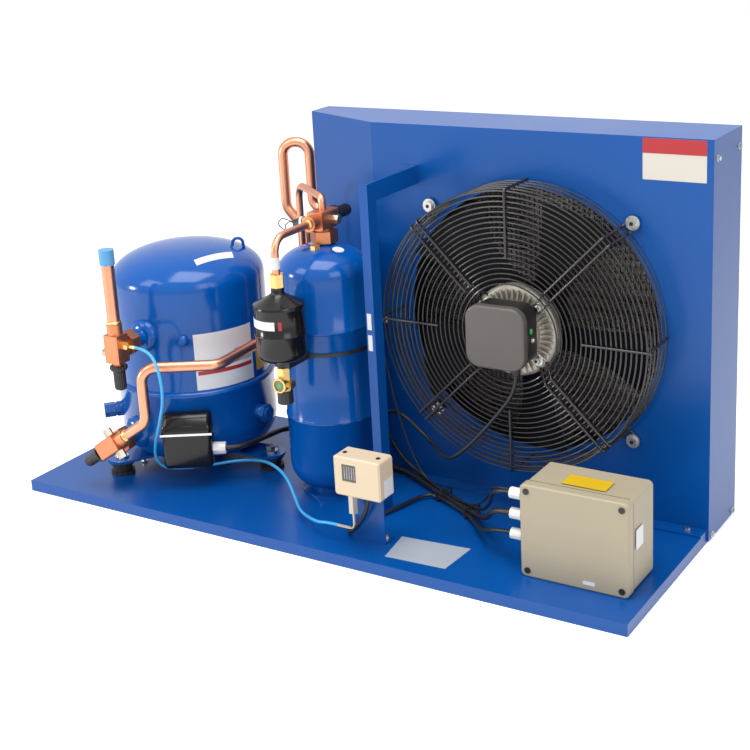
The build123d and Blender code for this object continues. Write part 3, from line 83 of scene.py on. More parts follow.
# %% [markdown]
# ## Nodes and shader values
#
# A node tree can be built line by line, with one line for each node, setting and link. That hides what the
# tree says, so `add_node` does the three in one call, for shaders and for Geometry Nodes. `Value` wraps one
# output of a shader tree, and its operators add Math nodes, so a pattern reads as a formula.

# %% Nodes and values
def add_node(tree, kind, settings=(), *values, output=0, **named):
    """Adds a node and gives one output: settings first, then sockets in order or by name."""
    made = tree.nodes.new(kind)
    for key, setting in dict(settings).items():
        setattr(made, key, setting)
    sockets = list(zip(made.inputs, values))
    sockets += [(made.inputs[key.replace("_", " ")], value) for key, value in named.items()]
    for socket, value in sockets:
        if isinstance(value, Value):
            value = value.socket
        if isinstance(value, bpy.types.NodeSocket):
            tree.links.new(value, socket)
        else:
            socket.default_value = value
    return made.outputs[output]


class Value:
    """One output of a shader tree, whose operators build Math nodes."""

    def __init__(self, tree, socket):
        self.tree, self.socket = tree, socket

    def node(self, kind, settings=(), **sockets):
        """The first output of any other node."""
        return Value(self.tree, add_node(self.tree, kind, settings, **sockets))

    def math(self, operation, *pair):
        return Value(self.tree, add_node(self.tree, "ShaderNodeMath", {"operation": operation}, *pair))

    def larger(self, other):
        return self.math("MAXIMUM", self, other)

    def __add__(self, other):
        return self.math("ADD", self, other)

    def __radd__(self, other):
        return self.math("ADD", other, self)

    def __sub__(self, other):
        return self.math("SUBTRACT", self, other)

    def __rsub__(self, other):
        return self.math("SUBTRACT", other, self)

    def __mul__(self, other):
        return self.math("MULTIPLY", self, other)

    def __rmul__(self, other):
        return self.math("MULTIPLY", other, self)


print("operators on values: + - * and larger")

# %% [markdown]
# ## One rule for every finish
#
# No real surface has one even colour. Paint, metal and plastic drift a little from place to place, and have
# a grain that the light catches. Image textures could show that, but they need an unwrapped mesh. Two
# noises need none: a slow one shifts the shade, and a fine one moves the roughness and a small bump. They
# follow object coordinates, so they stay with a piece that turns.

# %% The finish of a material
CLOUD_SCALE, CLOUD_DETAIL, GRAIN_DETAIL = 7.0, 4.0, 3.0
GRAIN_DEPTH = 0.5 * MM
COAT_ROUGHNESS = 0.06
MATERIALS = {}


def add_finish(name, colour, roughness, metallic=0.0, coat=0.0, grain=900.0, bump=0.05, drift=0.06,
               brushed=None, mirror=0.5):
    """A procedural finish; brushed scales a drawn grain on each axis, mirror is the specular level."""
    material = bpy.data.materials.new(name)
    material.use_nodes = True
    tree = material.node_tree
    shader = tree.nodes["Principled BSDF"]
    base = Value(tree, add_node(tree, "ShaderNodeTexCoord", output="Object"))
    place = base.node("ShaderNodeMapping", Vector=base, Scale=brushed) if brushed else base
    fine = base.node("ShaderNodeTexNoise", Vector=place, Scale=grain, Detail=GRAIN_DETAIL)
    slow = base.node("ShaderNodeTexNoise", Vector=base, Scale=CLOUD_SCALE, Detail=CLOUD_DETAIL)
    shade = 1.0 - drift * 0.5 + (slow - 0.5) * (2 * drift) + (fine - 0.5) * (drift * 0.6)
    tone = base.node("ShaderNodeCombineColor", Red=shade * colour[0], Green=shade * colour[1],
                     Blue=shade * colour[2])
    rough = roughness + (fine - 0.5) * (0.25 * roughness) + (slow - 0.5) * (0.3 * roughness)
    raised = base.node("ShaderNodeBump", Height=fine, Strength=bump, Distance=GRAIN_DEPTH)
    for key, value in (("Base Color", tone), ("Roughness", rough), ("Normal", raised)):
        tree.links.new(value.socket, shader.inputs[key])
    for key, value in (("Metallic", metallic), ("Coat Weight", coat), ("Coat Roughness", COAT_ROUGHNESS),
                       ("Specular IOR Level", mirror)):
        shader.inputs[key].default_value = value
    MATERIALS[name] = material


print("finish rule ready")

# %% [markdown]
# ## Paints
#
# The tray and housing are powder coated, the vessels have a smoother enamel, and the drier and the guard are
# black. A car paint would have a strong clear coat. These have a thin one and a lowered specular level, so
# that a broad white room does not turn the deep blue pale.

# %% Paints
add_finish("blue paint", (0.0, 0.071, 0.31), 0.3, coat=0.06, grain=700, bump=0.04, mirror=0.32)
add_finish("gloss blue", (0.0, 0.082, 0.36), 0.16, coat=0.12, grain=500, bump=0.04, mirror=0.3)
add_finish("black paint", (0.006, 0.005, 0.005), 0.2, coat=0.15, bump=0.03, mirror=0.3)
add_finish("wire black", (0.022, 0.019, 0.018), 0.26, coat=0.2, bump=0.03)
add_finish("hex blue", (0.004, 0.10, 0.36), 0.35)
print("paints ready, finishes so far:", len(MATERIALS))

# %% [markdown]
# ## Plastics and rubber
#
# Moulded parts copy the fine texture of their mould, so their grain is small, dense and a little deeper than
# that of paint. The boxes are two creams, the capillary is sky blue, and the caps, fan, cables and feet are
# black. One black would do for them all, but real ones are told apart by their gloss, so each has its own.

# %% Plastics and rubber
add_finish("sky blue", (0.04, 0.36, 0.72), 0.4)
add_finish("cap blue", (0.10, 0.33, 0.62), 0.45)
add_finish("cream", (0.40, 0.345, 0.24), 0.5, grain=1400, bump=0.12)
add_finish("switch cream", (0.66, 0.53, 0.37), 0.42, grain=1100, bump=0.06)
add_finish("white plastic", (0.78, 0.78, 0.76), 0.4)
add_finish("green plastic", (0.05, 0.42, 0.12), 0.4)
add_finish("black plastic", (0.010, 0.009, 0.009), 0.45, grain=1600, bump=0.12)
add_finish("blade black", (0.005, 0.0045, 0.006), 0.5, bump=0.1, mirror=0.12)
add_finish("black lid", (0.085, 0.072, 0.066), 0.48, coat=0.15, grain=1500, bump=0.1)
add_finish("rubber", (0.012, 0.012, 0.012), 0.6)
add_finish("cable", (0.011, 0.011, 0.012), 0.38, grain=400, bump=0.08)
print("plastics ready, finishes so far:", len(MATERIALS))

# %% [markdown]
# ## Metals
#
# Bare metal is fully metallic and shows its colour in what it mirrors. Drawn copper tube has a grain that is
# stretched along its length. Anisotropic shading could show that, but it needs tangents, while a Mapping node
# with a smaller scale on one axis needs nothing. Forgings and castings are rougher and drift more. The fins'
# edges and the cast motor are only partly metallic, because they carry dust. The edges' brown is also
# darkened as painted shade, for the coil that lies dim behind the fan.

# %% Metals
add_finish("copper", (0.80, 0.36, 0.22), 0.34, 1.0, grain=260, bump=0.1, drift=0.22, brushed=(1, 1, 0.15))
add_finish("forged copper", (0.66, 0.26, 0.13), 0.42, 1.0, grain=420, bump=0.22, drift=0.2)
add_finish("brass", (0.74, 0.52, 0.20), 0.3, 1.0, drift=0.14)
add_finish("nickel", (0.46, 0.42, 0.35), 0.34, 1.0, drift=0.15)
add_finish("plated", (0.62, 0.62, 0.61), 0.28, 1.0, drift=0.1)
add_finish("galvanised", (0.55, 0.56, 0.57), 0.45, 1.0, grain=120, drift=0.2)
add_finish("aluminium", (0.6, 0.61, 0.62), 0.4, 1.0, grain=300, drift=0.12)
add_finish("cast aluminium", (0.52, 0.48, 0.42), 0.5, 0.7, grain=500, bump=0.3, drift=0.2)
# The fins' edges: a brown darkened as painted shade for the dim coil behind the fan, partly metallic for
# dust.
add_finish("coil shade brown", (0.12, 0.10, 0.085), 0.5, 0.4, drift=0.2)
add_finish("cast grey", (0.2, 0.2, 0.2), 0.55, 0.4, bump=0.3)
print("metals ready, finishes so far:", len(MATERIALS))

# %% [markdown]
# ## Labels and glass
#
# Stickers are smooth film, so they get almost no bump. The moisture eye and the switch's window could be true
# glass, but nothing lies behind them, so a dark body under a clear coat shows the same and renders faster.

# %% Labels and glass
add_finish("white label", (0.72, 0.73, 0.73), 0.45, bump=0.02)
add_finish("grey label", (0.42, 0.47, 0.53), 0.42, 0.2, bump=0.02)
add_finish("plate cream", (0.60, 0.56, 0.50), 0.4, bump=0.02)
add_finish("red label", (0.40, 0.02, 0.025), 0.42, bump=0.02)
add_finish("yellow label", (0.66, 0.42, 0.01), 0.42, bump=0.02)
add_finish("dark window", (0.05, 0.045, 0.04), 0.2, coat=0.6)
add_finish("olive glass", (0.13, 0.13, 0.04), 0.12, coat=1.0)
print("all finishes:", len(MATERIALS))

# %% [markdown]
# ## Finishes of the CAD nodes
#
# A node whose form is right is not modelled again: it stays and takes its finish here. Each node could be
# given its finish by a line of its own, but one table shows at a glance which parts share a material. An
# assertion makes sure that no node is left out or named wrongly.

# %% Paint the nodes
NODES_OF = {
    "blue paint": "base_tray housing_side housing_top housing_wrap support_post switch_bracket",
    "gloss blue": "compressor_lower_shell compressor_upper_shell compressor_feet receiver_shell "
                  "receiver_foot",
    "hex blue": "oil_cap oil_sight_glass",
    "cap blue": "suction_stub_cap",
    "sky blue": "capillary_hose",
    "cream": "control_box control_box_lid",
    "switch cream": "switch_base switch_cover",
    "white plastic": "cable_glands",
    "black plastic": "control_box_screws discharge_valve_cap fan_terminal_box outlet_cap plastic_trim "
                     "receiver_valve_cap suction_valve_cap switch_spindle_left switch_spindle_right",
    "black lid": "fan_terminal_lid",
    "black paint": "compressor_terminal_cover drier_body fan_guard",
    "blade black": "fan_blades fan_inlet_ring fan_rotor_hub",
    "rubber": "compressor_grommets",
    "cable": "compressor_cable fan_cable sensor_lead switch_cable",
    "copper": "coil_tubes copper_lines discharge_line",
    "forged copper": "rotolock_nuts service_valve_bodies",
    "brass": "brass_fittings sight_glass_body",
    "nickel": "plated_fittings",
    "plated": "discharge_valve_stem fixing_bolts receiver_valve_stem suction_valve_stem terminal_strap",
    "galvanised": "coil_end_plates",
    "aluminium": "coil_fins",
    "cast aluminium": "fan_motor_stator",
    "cast grey": "compressor_pump_block",
    "olive glass": "sight_glass_lens",
}
NODE_FINISH = {node: finish for finish, nodes in NODES_OF.items() for node in nodes.split()}
assert set(NODE_FINISH) == set(NODES), set(NODES) ^ set(NODE_FINISH)
for node, finish in NODE_FINISH.items():
    for slot in NODES[node].material_slots:
        slot.material = MATERIALS[finish]
print("painted", len(NODE_FINISH), "nodes")

# %% [markdown]
# ## Folded edges
#
# Sheet steel bends round a small radius, and a moulded box has no knife edge either. The radius could be
# modelled into each part, but a Bevel modifier that looks only for sharp angles does it for all of them, and
# gives every edge the thin line of light that makes it look solid.

# %% Soft edges
FOLD_RADIUS, FOLD_ANGLE = 0.9 * MM, math.radians(50)
soft_nodes = ("base_tray", "housing_wrap", "housing_top", "housing_side", "support_post", "switch_bracket",
              "control_box", "control_box_lid")
for node in soft_nodes:
    softened = NODES[node].modifiers.new("soft edges", "BEVEL")
    softened.width, softened.segments = FOLD_RADIUS, 2
    softened.limit_method, softened.angle_limit = "ANGLE", FOLD_ANGLE
print("softened", len(soft_nodes), "nodes")

# %% [markdown]
# ## Cords
#
# Cables leave a gland, sag to the tray, run together in a bundle and rise to the electrical box, and a thin
# capillary loops from the suction valve to the switch. A simulation would lay them somewhere, but not where
# they are tied. So each is one open NURBS spline led by given points, with a round bevel. The spline
# is smooth by itself, and its own measure gives the length.

# %% How a cord is made
CORD_ROUNDNESS, CORD_STEPS, CORD_ORDER = 5, 10, 3


def cord_piece(name, node, radius, material, points):
    """A round cord on a smooth path, standing for its CAD node."""
    curve = bpy.data.curves.new(name, "CURVE")
    curve.dimensions = "3D"
    curve.bevel_depth, curve.bevel_resolution, curve.resolution_u = radius * MM, CORD_ROUNDNESS, CORD_STEPS
    curve.use_fill_caps = True
    curve.materials.append(MATERIALS[material])
    spline = curve.splines.new("NURBS")
    spline.points.add(len(points) - 1)
    for place, point in zip(spline.points, points):
        place.co = (*(c * MM for c in point), 1)
    spline.order_u, spline.use_endpoint_u = CORD_ORDER, True
    piece = bpy.data.objects.new(name, curve)
    scene.collection.objects.link(piece)
    length = spline.calc_length()
    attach(piece, "unit")
    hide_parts(node)
    print(name, "length", round(length / MM), "mm")


print("cord maker ready")

# %% The power cables
cord_piece("compressor_cord", "compressor_cable", 5.0, "cable", [
    (-233.035, -86.797, 93), (-210.749, -73.406, 93), (-206, -10, 88), (-204, 60, 84), (-150, 100, 72),
    (-70, 104, 46), (-10, 88, 31), (46, 78, 30), (109, 45, 28), (228, -17, 28), (290, -86, 62),
    (321.5, -131, 106), (355.5, -131, 106)])
cord_piece("fan_cord", "fan_cable", 3.2, "cable", [
    (305, -6, 281), (305, -6, 254), (268, -4, 205), (215, -2, 142), (168, 4, 104), (128, 42, 104),
    (84, 62, 122), (48, 64, 148), (8, 70, 148), (0, 79, 104), (22, 92, 52), (62, 86, 29),
    (113.16, 52.98, 28), (232.16, -9.02, 28), (296, -84, 90), (321.5, -131, 140), (355.5, -131, 140)])

# %% The switch's cable, the lead and the capillary
cord_piece("switch_cord", "switch_cable", 3.2, "cable", [
    (124, -178, 108), (124, -178, 92), (110, -174.5, 62), (88, -174, 36), (68, -162, 26), (66, -128, 25),
    (92, -62, 25), (102, -14, 26), (118, 24, 27), (152, 12.4, 28), (223.84, -24.98, 28), (284, -96, 42),
    (321.5, -131, 72), (355.5, -131, 72)])
cord_piece("sensor_cord", "sensor_lead", 1.6, "cable", [
    (0, 96.5, 305), (0, 78.5, 305), (10, 62, 285), (27, 54, 228), (44, 53, 150), (74, 56, 60),
    (109, 45, 35.5), (228, -17, 35.5), (296, -76, 108), (321.5, -125.8, 142), (355.5, -125.8, 142)])
cord_piece("capillary_cord", "capillary_hose", 2.7, "sky blue", [
    (-321.5, -196, 303), (-290, -196, 303), (-258, -212, 270), (-256, -212, 222), (-286, -196, 166),
    (-328, -167, 110), (-342, -152, 74), (-328, -136, 52), (-270, -86, 53), (-236, -48, 53),
    (-200, -36, 55), (-160, -50, 60), (-105, -84, 60), (-70, -110, 36), (-40, -140, 30), (20, -178, 40),
    (46, -185, 48), (66, -185, 48)])

# %% [markdown]
# ## Pieces
#
# Everything below is measured in millimetres and turned into metres in one place. A piece could carry its
# place in its object, but the frame wants each object at the origin, so the place goes into the mesh.
# `settle` gives a mesh its finish and shading and lets it ride, and `piece_of` builds one from points.

# %% From points to a riding piece
MERGE_DISTANCE = 1e-7


def settle(name, mesh, material, body="unit", sharp=40):
    """Shades a finished mesh, gives it its finish, and lets it ride on its body."""
    mesh.materials.clear()
    mesh.materials.append(MATERIALS[material])
    piece = bpy.data.objects.new(name, mesh)
    scene.collection.objects.link(piece)
    if sharp:
        mesh.shade_smooth()
        mesh.set_sharp_from_angle(angle=math.radians(sharp))
    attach(piece, body)
    return piece


def piece_of(name, vertices, faces, material, body="unit", sharp=40):
    """A mesh piece from points in millimetres, its doubles merged and its faces turned outwards."""
    mesh = bpy.data.meshes.new(name)
    mesh.from_pydata([tuple(c * MM for c in v) for v in vertices], [], faces)
    shape = bmesh.new()
    shape.from_mesh(mesh)
    bmesh.ops.remove_doubles(shape, verts=shape.verts, dist=MERGE_DISTANCE)
    bmesh.ops.recalc_face_normals(shape, faces=shape.faces)
    shape.to_mesh(mesh)
    shape.free()
    return settle(name, mesh, material, body, sharp)


print("piece helpers ready")

# %% [markdown]
# ## Rings of wire
#
# The fan's guard is a basket of steel wire, welded ring by ring. Each ring could be a torus, copied by hand,
# but the rings follow a rule: even steps in radius on the front, and even steps in depth on the side. A
# Geometry Nodes tree keeps that rule as inputs. It sets a circle on each point of a line, scales it by its
# number, and sweeps a small section along it.

# %% Trees in general
def empty_tree(name, **inputs):
    """A Geometry Nodes group with named inputs; gives the group and its input sockets."""
    tree = bpy.data.node_groups.new(name, "GeometryNodeTree")
    for key, kind in inputs.items():
        tree.interface.new_socket(name=key.replace("_", " "), in_out="INPUT", socket_type="NodeSocket" + kind)
    tree.interface.new_socket(name="Geometry", in_out="OUTPUT", socket_type="NodeSocketGeometry")
    return tree, tree.nodes.new("NodeGroupInput").outputs


def close_tree(tree, geometry, finish):
    """Ends a tree: its instances become real, take their finish and are handed out."""
    real = add_node(tree, "GeometryNodeRealizeInstances", (), geometry)
    coloured = add_node(tree, "GeometryNodeSetMaterial", Geometry=real, Material=finish)
    tree.links.new(coloured, tree.nodes.new("NodeGroupOutput").inputs[0])
    return tree


def grown(name, tree, material, **values):
    """Runs a node tree with the given inputs and keeps the result as a plain mesh piece."""
    holder = bpy.data.objects.new(name + "_tree", bpy.data.meshes.new(name + "_tree"))
    scene.collection.objects.link(holder)
    modifier = holder.modifiers.new("tree", "NODES")
    modifier.node_group = tree
    sockets = {item.name: item.identifier for item in tree.interface.items_tree
               if getattr(item, "in_out", "") == "INPUT"}
    for key, given in values.items():
        modifier[sockets[key.replace("_", " ")]] = given
    modifier[sockets["Finish"]] = MATERIALS[material]
    depsgraph = bpy.context.evaluated_depsgraph_get()
    mesh = bpy.data.meshes.new_from_object(holder.evaluated_get(depsgraph), depsgraph=depsgraph)
    holder.modifiers.remove(modifier)
    bpy.data.objects.remove(holder)
    mesh.name = name
    print(name, "faces", len(mesh.polygons))
    return settle(name, mesh, material)


print("tree helpers ready")

# %% The tree of rings
RING_CORNERS, WIRE_CORNERS = 96, 8
FACE_FORWARD = (math.pi / 2, 0, 0)


def ring_tree():
    """Concentric wire rings about the Y axis."""
    tree, given = empty_tree("wire rings", Count="Int", First_radius="Float", Radius_step="Float",
                             Depth_step="Float", Wire_radius="Float", Place="Vector", Finish="Material")
    line = add_node(tree, "GeometryNodeMeshLine", Count=given["Count"], Offset=(0, 0, 0))
    index = add_node(tree, "GeometryNodeInputIndex")
    circle = add_node(tree, "GeometryNodeCurvePrimitiveCircle", Resolution=RING_CORNERS, Radius=1.0)
    growth = add_node(tree, "ShaderNodeMath", {"operation": "MULTIPLY_ADD"}, index, given["Radius step"],
                      given["First radius"])
    depth = add_node(tree, "ShaderNodeMath", {"operation": "MULTIPLY"}, index, given["Depth step"])
    shift = add_node(tree, "ShaderNodeCombineXYZ", Y=depth)
    total = add_node(tree, "ShaderNodeVectorMath", {"operation": "ADD"}, shift, given["Place"])
    places = add_node(tree, "GeometryNodeSetPosition", Geometry=line, Position=total)
    rings = add_node(tree, "GeometryNodeInstanceOnPoints", Points=places, Instance=circle,
                     Rotation=FACE_FORWARD, Scale=growth)
    real = add_node(tree, "GeometryNodeRealizeInstances", (), rings)
    section = add_node(tree, "GeometryNodeCurvePrimitiveCircle", Resolution=WIRE_CORNERS,
                       Radius=given["Wire radius"])
    wire = add_node(tree, "GeometryNodeCurveToMesh", Curve=real, Profile_Curve=section)
    return close_tree(tree, wire, given["Finish"])


RINGS = ring_tree()
print("tree of rings:", len(RINGS.nodes), "nodes")

# %% Guard rings
FAN_X, FAN_Z, GUARD_FRONT, PANEL_Y = 281.0, 338.0, 18.5, 100.5
FRONT_RINGS, FIRST_RADIUS, RADIUS_STEP, FRONT_WIRE, FRONT_INSET = 19, 84, 8.35, 1.35, 2
SIDE_RINGS, SIDE_RADIUS, DEPTH_STEP, SIDE_WIRE, SIDE_INSET = 5, 235.4, 15.5, 1.4, 15

front_rings = grown("guard_front_rings", RINGS, "wire black", Count=FRONT_RINGS,
                    First_radius=FIRST_RADIUS * MM, Radius_step=RADIUS_STEP * MM, Depth_step=0.0,
                    Wire_radius=FRONT_WIRE * MM,
                    Place=(FAN_X * MM, (GUARD_FRONT + FRONT_INSET) * MM, FAN_Z * MM))
grown("guard_side_rings", RINGS, "wire black", Count=SIDE_RINGS, First_radius=SIDE_RADIUS * MM,
      Radius_step=0.0, Depth_step=DEPTH_STEP * MM, Wire_radius=SIDE_WIRE * MM,
      Place=(FAN_X * MM, (GUARD_FRONT + SIDE_INSET) * MM, FAN_Z * MM))
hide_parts("fan_guard")

# %% [markdown]
# ## Bent wire and tube
#
# The guard hangs on four struts, each one wire that runs out beside the motor, bends back to the panel,
# turns round its bolt and comes home. Copper lines are made alike, by a bender that leaves straight runs and
# round bends. A spline would wander between its points, so the path is worked out: straight lines, with an
# arc that touches both at each corner. One side vector is carried along it, so the tube does not twist.

# %% Bent tubes
BEND_STEP = 6.0
NEARLY_STRAIGHT = 0.02
LONGEST_REACH = 0.48


def bent_path(points, bend):
    """Points along straight runs that are joined by tangent arcs."""
    points = [Vector(p) for p in points]
    path = [points[0]]
    for before, corner, after in zip(points, points[1:], points[2:]):
        a, b = before - corner, after - corner
        turn = math.pi - a.angle(b)
        if turn < NEARLY_STRAIGHT:
            path.append(corner)
            continue
        reach = min(bend * math.tan(turn / 2), LONGEST_REACH * a.length, LONGEST_REACH * b.length)
        radius = reach / math.tan(turn / 2)
        middle = (a.normalized() + b.normalized()).normalized()
        centre = corner + middle * (radius / math.cos(turn / 2))
        start, end = corner + a.normalized() * reach - centre, corner + b.normalized() * reach - centre
        pieces = max(3, int(math.degrees(turn) / BEND_STEP))
        for k in range(pieces + 1):
            path.append(centre + start.normalized().slerp(end.normalized(), k / pieces) * radius)
    path.append(points[-1])
    return path


def tube(name, points, radius, bend, material, sides=24):
    """A round tube along straight runs and tangent bends, closed at both ends."""
    path = bent_path(points, bend)
    last = len(path) - 1
    tangents = [(path[min(k + 1, last)] - path[max(k - 1, 0)]).normalized() for k in range(last + 1)]
    side = tangents[0].orthogonal().normalized()
    vertices, faces = [], []
    for centre, tangent in zip(path, tangents):
        side = (side - tangent * side.dot(tangent)).normalized()
        other = tangent.cross(side)
        for k in range(sides):
            turn = 2 * math.pi * k / sides
            vertices.append(centre + (side * math.cos(turn) + other * math.sin(turn)) * radius)
    for ring in range(last):
        for k in range(sides):
            a, b = ring * sides + k, ring * sides + (k + 1) % sides
            faces.append((a, b, b + sides, a + sides))
    faces.append(tuple(range(sides)))
    faces.append(tuple(len(vertices) - sides + k for k in range(sides)))
    return piece_of(name, vertices, faces, material)


def fan_point(r, y, turn, side=0.0):
    """A point about the fan's axis; side is across the spoke."""
    a = math.radians(turn)
    return (FAN_X + r * math.cos(a) - side * math.sin(a), y,
            FAN_Z + r * math.sin(a) + side * math.cos(a))


print("tube helpers ready")

# %% Guard struts and stubs
STRUT_WIRE, HALF_GAP = 2.1, 7.5
STRUT_Y, FOOT_Y = GUARD_FRONT - 2, PANEL_Y - 2.2
RIM, LUG_START, FOOT_END, FOOT_TIP = 238, 56, 256, 264
QUARTERS = (0, 90, 180, 270)
DIAGONALS = [45 + quarter for quarter in QUARTERS]

strut = [(LUG_START, 40), (72, 40), (99, STRUT_Y), (RIM, STRUT_Y), (RIM, FOOT_Y), (FOOT_END, FOOT_Y)]
stub = [(128, STRUT_Y), (RIM, STRUT_Y), (RIM, FOOT_Y)]
for spoke, (diagonal, quarter) in enumerate(zip(DIAGONALS, QUARTERS)):
    out = [fan_point(r, y, diagonal, HALF_GAP) for r, y in strut]
    tip = [fan_point(FOOT_TIP, FOOT_Y, diagonal, side) for side in (HALF_GAP, -HALF_GAP)]
    home = [fan_point(r, y, diagonal, -HALF_GAP) for r, y in reversed(strut)]
    tube(f"guard_strut_{spoke}", out + tip + home, STRUT_WIRE, 7, "wire black", sides=12)
    tube(f"guard_stub_{spoke}", [fan_point(r, y, quarter) for r, y in stub], STRUT_WIRE, 6, "wire black",
         sides=12)
print("guard: 4 struts and 4 stubs of", 2 * STRUT_WIRE, "mm wire")

# %% [markdown]
# ## The motor's casting
#
# The fixed half of the motor is a pale casting, round with radial cooling ribs. A round form is fully told by
# half of its section, so it is turned from a profile of radius and distance, as on a lathe. A Screw modifier
# would do that too, but a function can also ripple the radius, which ribs the caps further on.

# %% Turned forms
def lathe(name, profile, origin, axis, material, body="unit", segments=96, wave=(0, 0.0), waved=()):
    """A turned form from (radius, distance along the axis) pairs, closed where the radius is 0.

    wave is a number of ribs and their share of the radius, on the profile points listed in waved.
    """
    axis = Vector(axis).normalized()
    side = axis.orthogonal().normalized()
    other = axis.cross(side)
    vertices, faces = [], []
    for place, (radius, along) in enumerate(profile):
        for k in range(segments):
            turn = 2 * math.pi * k / segments
            ribbed = 1 + wave[1] * math.cos(wave[0] * turn) if place in waved else 1
            vertices.append(Vector(origin) + axis * along
                            + (side * math.cos(turn) + other * math.sin(turn)) * radius * ribbed)
    for ring in range(len(profile) - 1):
        for k in range(segments):
            a, b = ring * segments + k, ring * segments + (k + 1) % segments
            faces.append((a, b, b + segments, a + segments))
    return piece_of(name, vertices, faces, material, body)


print("lathe ready")

# %% The tree of ribs
def spoke_tree():
    """Blocks set round the Y axis like spokes."""
    tree, given = empty_tree("spokes", Count="Int", Radius="Float", Size="Vector", Place="Vector",
                             Finish="Material")
    ring = add_node(tree, "GeometryNodeMeshCircle", Vertices=given["Count"], Radius=given["Radius"])
    index = add_node(tree, "GeometryNodeInputIndex")
    share = add_node(tree, "ShaderNodeMath", {"operation": "DIVIDE"}, index, given["Count"])
    angle = add_node(tree, "ShaderNodeMath", {"operation": "MULTIPLY"}, share, 2 * math.pi)
    facing = add_node(tree, "ShaderNodeCombineXYZ", Z=angle)
    cube = add_node(tree, "GeometryNodeMeshCube", Size=given["Size"])
    spokes = add_node(tree, "GeometryNodeInstanceOnPoints", Points=ring, Instance=cube, Rotation=facing)
    upright = add_node(tree, "GeometryNodeTransform", Geometry=spokes, Rotation=FACE_FORWARD,
                       Translation=given["Place"])
    return close_tree(tree, upright, given["Finish"])


SPOKES = spoke_tree()
print("tree of ribs:", len(SPOKES.nodes), "nodes")

# %% Stator
RIB_COUNT, RIB_RADIUS, RIB_SIZE, RIB_Y = 40, 60, (22, 2.6, 8), 39.5
STATOR_PROFILE = [
    (0, 20), (46, 20), (47, 22), (47, 38), (52, 41), (60, 41), (66, 38), (72, 38), (76, 41), (77, 46),
    (77, 56), (73, 62), (66, 64), (9, 64), (9, 116), (0, 116)]

stator = lathe("stator_casting", STATOR_PROFILE, (FAN_X, 0, FAN_Z), (0, 1, 0), "cast aluminium")
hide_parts("fan_motor_stator")
grown("stator_ribs", SPOKES, "cast aluminium", Count=RIB_COUNT, Radius=RIB_RADIUS * MM,
      Size=tuple(c * MM for c in RIB_SIZE), Place=(FAN_X * MM, RIB_Y * MM, FAN_Z * MM))

# %% [markdown]
# ## Lugs, bolts and the terminal box
#
# Four lugs carry the guard's bolts, and a black box with a soft-edged lid hides the motor's terminals. The
# lugs are cubes with rounded edges. The box could be one too, but its corners are far rounder than its rims.
# So it is an outline with round corners, drawn straight out, and only the lid's outer rim is rounded, because
# its inner rim meets the box.

# %% Blocks and drawn forms
EDGE_STEPS, RIM_STEPS = 3, 4
SAME_PLACE = 1e-6


def shaped(name, shape, place, material, sharp):
    """Places a shape in millimetres by a matrix and settles it."""
    shape.transform(place)
    shape.transform(Matrix.Scale(MM, 4))
    bmesh.ops.recalc_face_normals(shape, faces=shape.faces)
    mesh = bpy.data.meshes.new(name)
    shape.to_mesh(mesh)
    shape.free()
    return settle(name, mesh, material, sharp=sharp)


def block(name, low, high, material, bevel=0.0, place=Matrix()):
    """A box between two corners, its edges rounded by bevel, then placed by a matrix."""
    shape = bmesh.new()
    bmesh.ops.create_cube(shape, size=1)
    for vertex in shape.verts:
        vertex.co = Vector((low[i] + high[i]) / 2 + vertex.co[i] * (high[i] - low[i]) for i in range(3))
    if bevel:
        bmesh.ops.bevel(shape, geom=list(shape.edges), offset=bevel, segments=EDGE_STEPS, affect="EDGES",
                        profile=0.5)
    return shaped(name, shape, place, material, 30)


def drawn(name, outline, low, high, material, bevel, place, only_rim=False):
    """An outline in (y, z) drawn along x from low to high, its edges rounded, then placed by a matrix."""
    shape = bmesh.new()
    face = shape.faces.new([shape.verts.new((low, y, z)) for y, z in outline])
    grown_parts = bmesh.ops.extrude_face_region(shape, geom=[face])["geom"]
    moved = [part for part in grown_parts if isinstance(part, bmesh.types.BMVert)]
    bmesh.ops.translate(shape, verts=moved, vec=(high - low, 0, 0))
    if bevel:
        edges = [edge for edge in shape.edges
                 if not only_rim or all(abs(v.co.x - low) < SAME_PLACE for v in edge.verts)]
        bmesh.ops.bevel(shape, geom=edges, offset=bevel, segments=RIM_STEPS, affect="EDGES", profile=0.5,
                        clamp_overlap=True)
    return shaped(name, shape, place, material, 35)


print("block and drawn form ready")

# %% Lugs and bolts
LUG_LOW, LUG_HIGH, LUG_ROUND = (46, 42.2, -13), (72, 50, 13), 3
BOLT_CIRCLE, BOLT_SEAT, BOLT_RADIUS, BOLT_HEIGHT = 61, 37.8, 9.5, 9


def bolt(name, place, direction, radius, height):
    """A washer with a round head, and a thin black hexagon on it: painted shade for the socket's recess."""
    head, socket, top = radius * 0.6, radius * 0.3, height + 0.15
    lathe(name, [(0, 0), (radius, 0), (radius, height * 0.25), (radius * 0.96, height * 0.3),
                 (head, height * 0.3), (head, height * 0.9), (radius * 0.54, height), (0, height)],
          place, direction, "plated", segments=40)
    # The socket is not cut: a thin black hexagon on the head is painted shade for its recess.
    lathe(name + "_socket", [(0, height), (socket, height), (socket, top), (0, top)], place, direction,
          "black plastic", segments=6)


for spoke, diagonal in enumerate(DIAGONALS):
    across = Matrix.Translation((FAN_X, 0, FAN_Z)) @ Matrix.Rotation(-math.radians(diagonal), 4, "Y")
    block(f"stator_lug_{spoke}", LUG_LOW, LUG_HIGH, "cast aluminium", LUG_ROUND, across)
    bolt(f"lug_bolt_{spoke}", fan_point(BOLT_CIRCLE, BOLT_SEAT, diagonal), (0, -1, 0), BOLT_RADIUS,
         BOLT_HEIGHT)
print("4 lugs with their bolts")

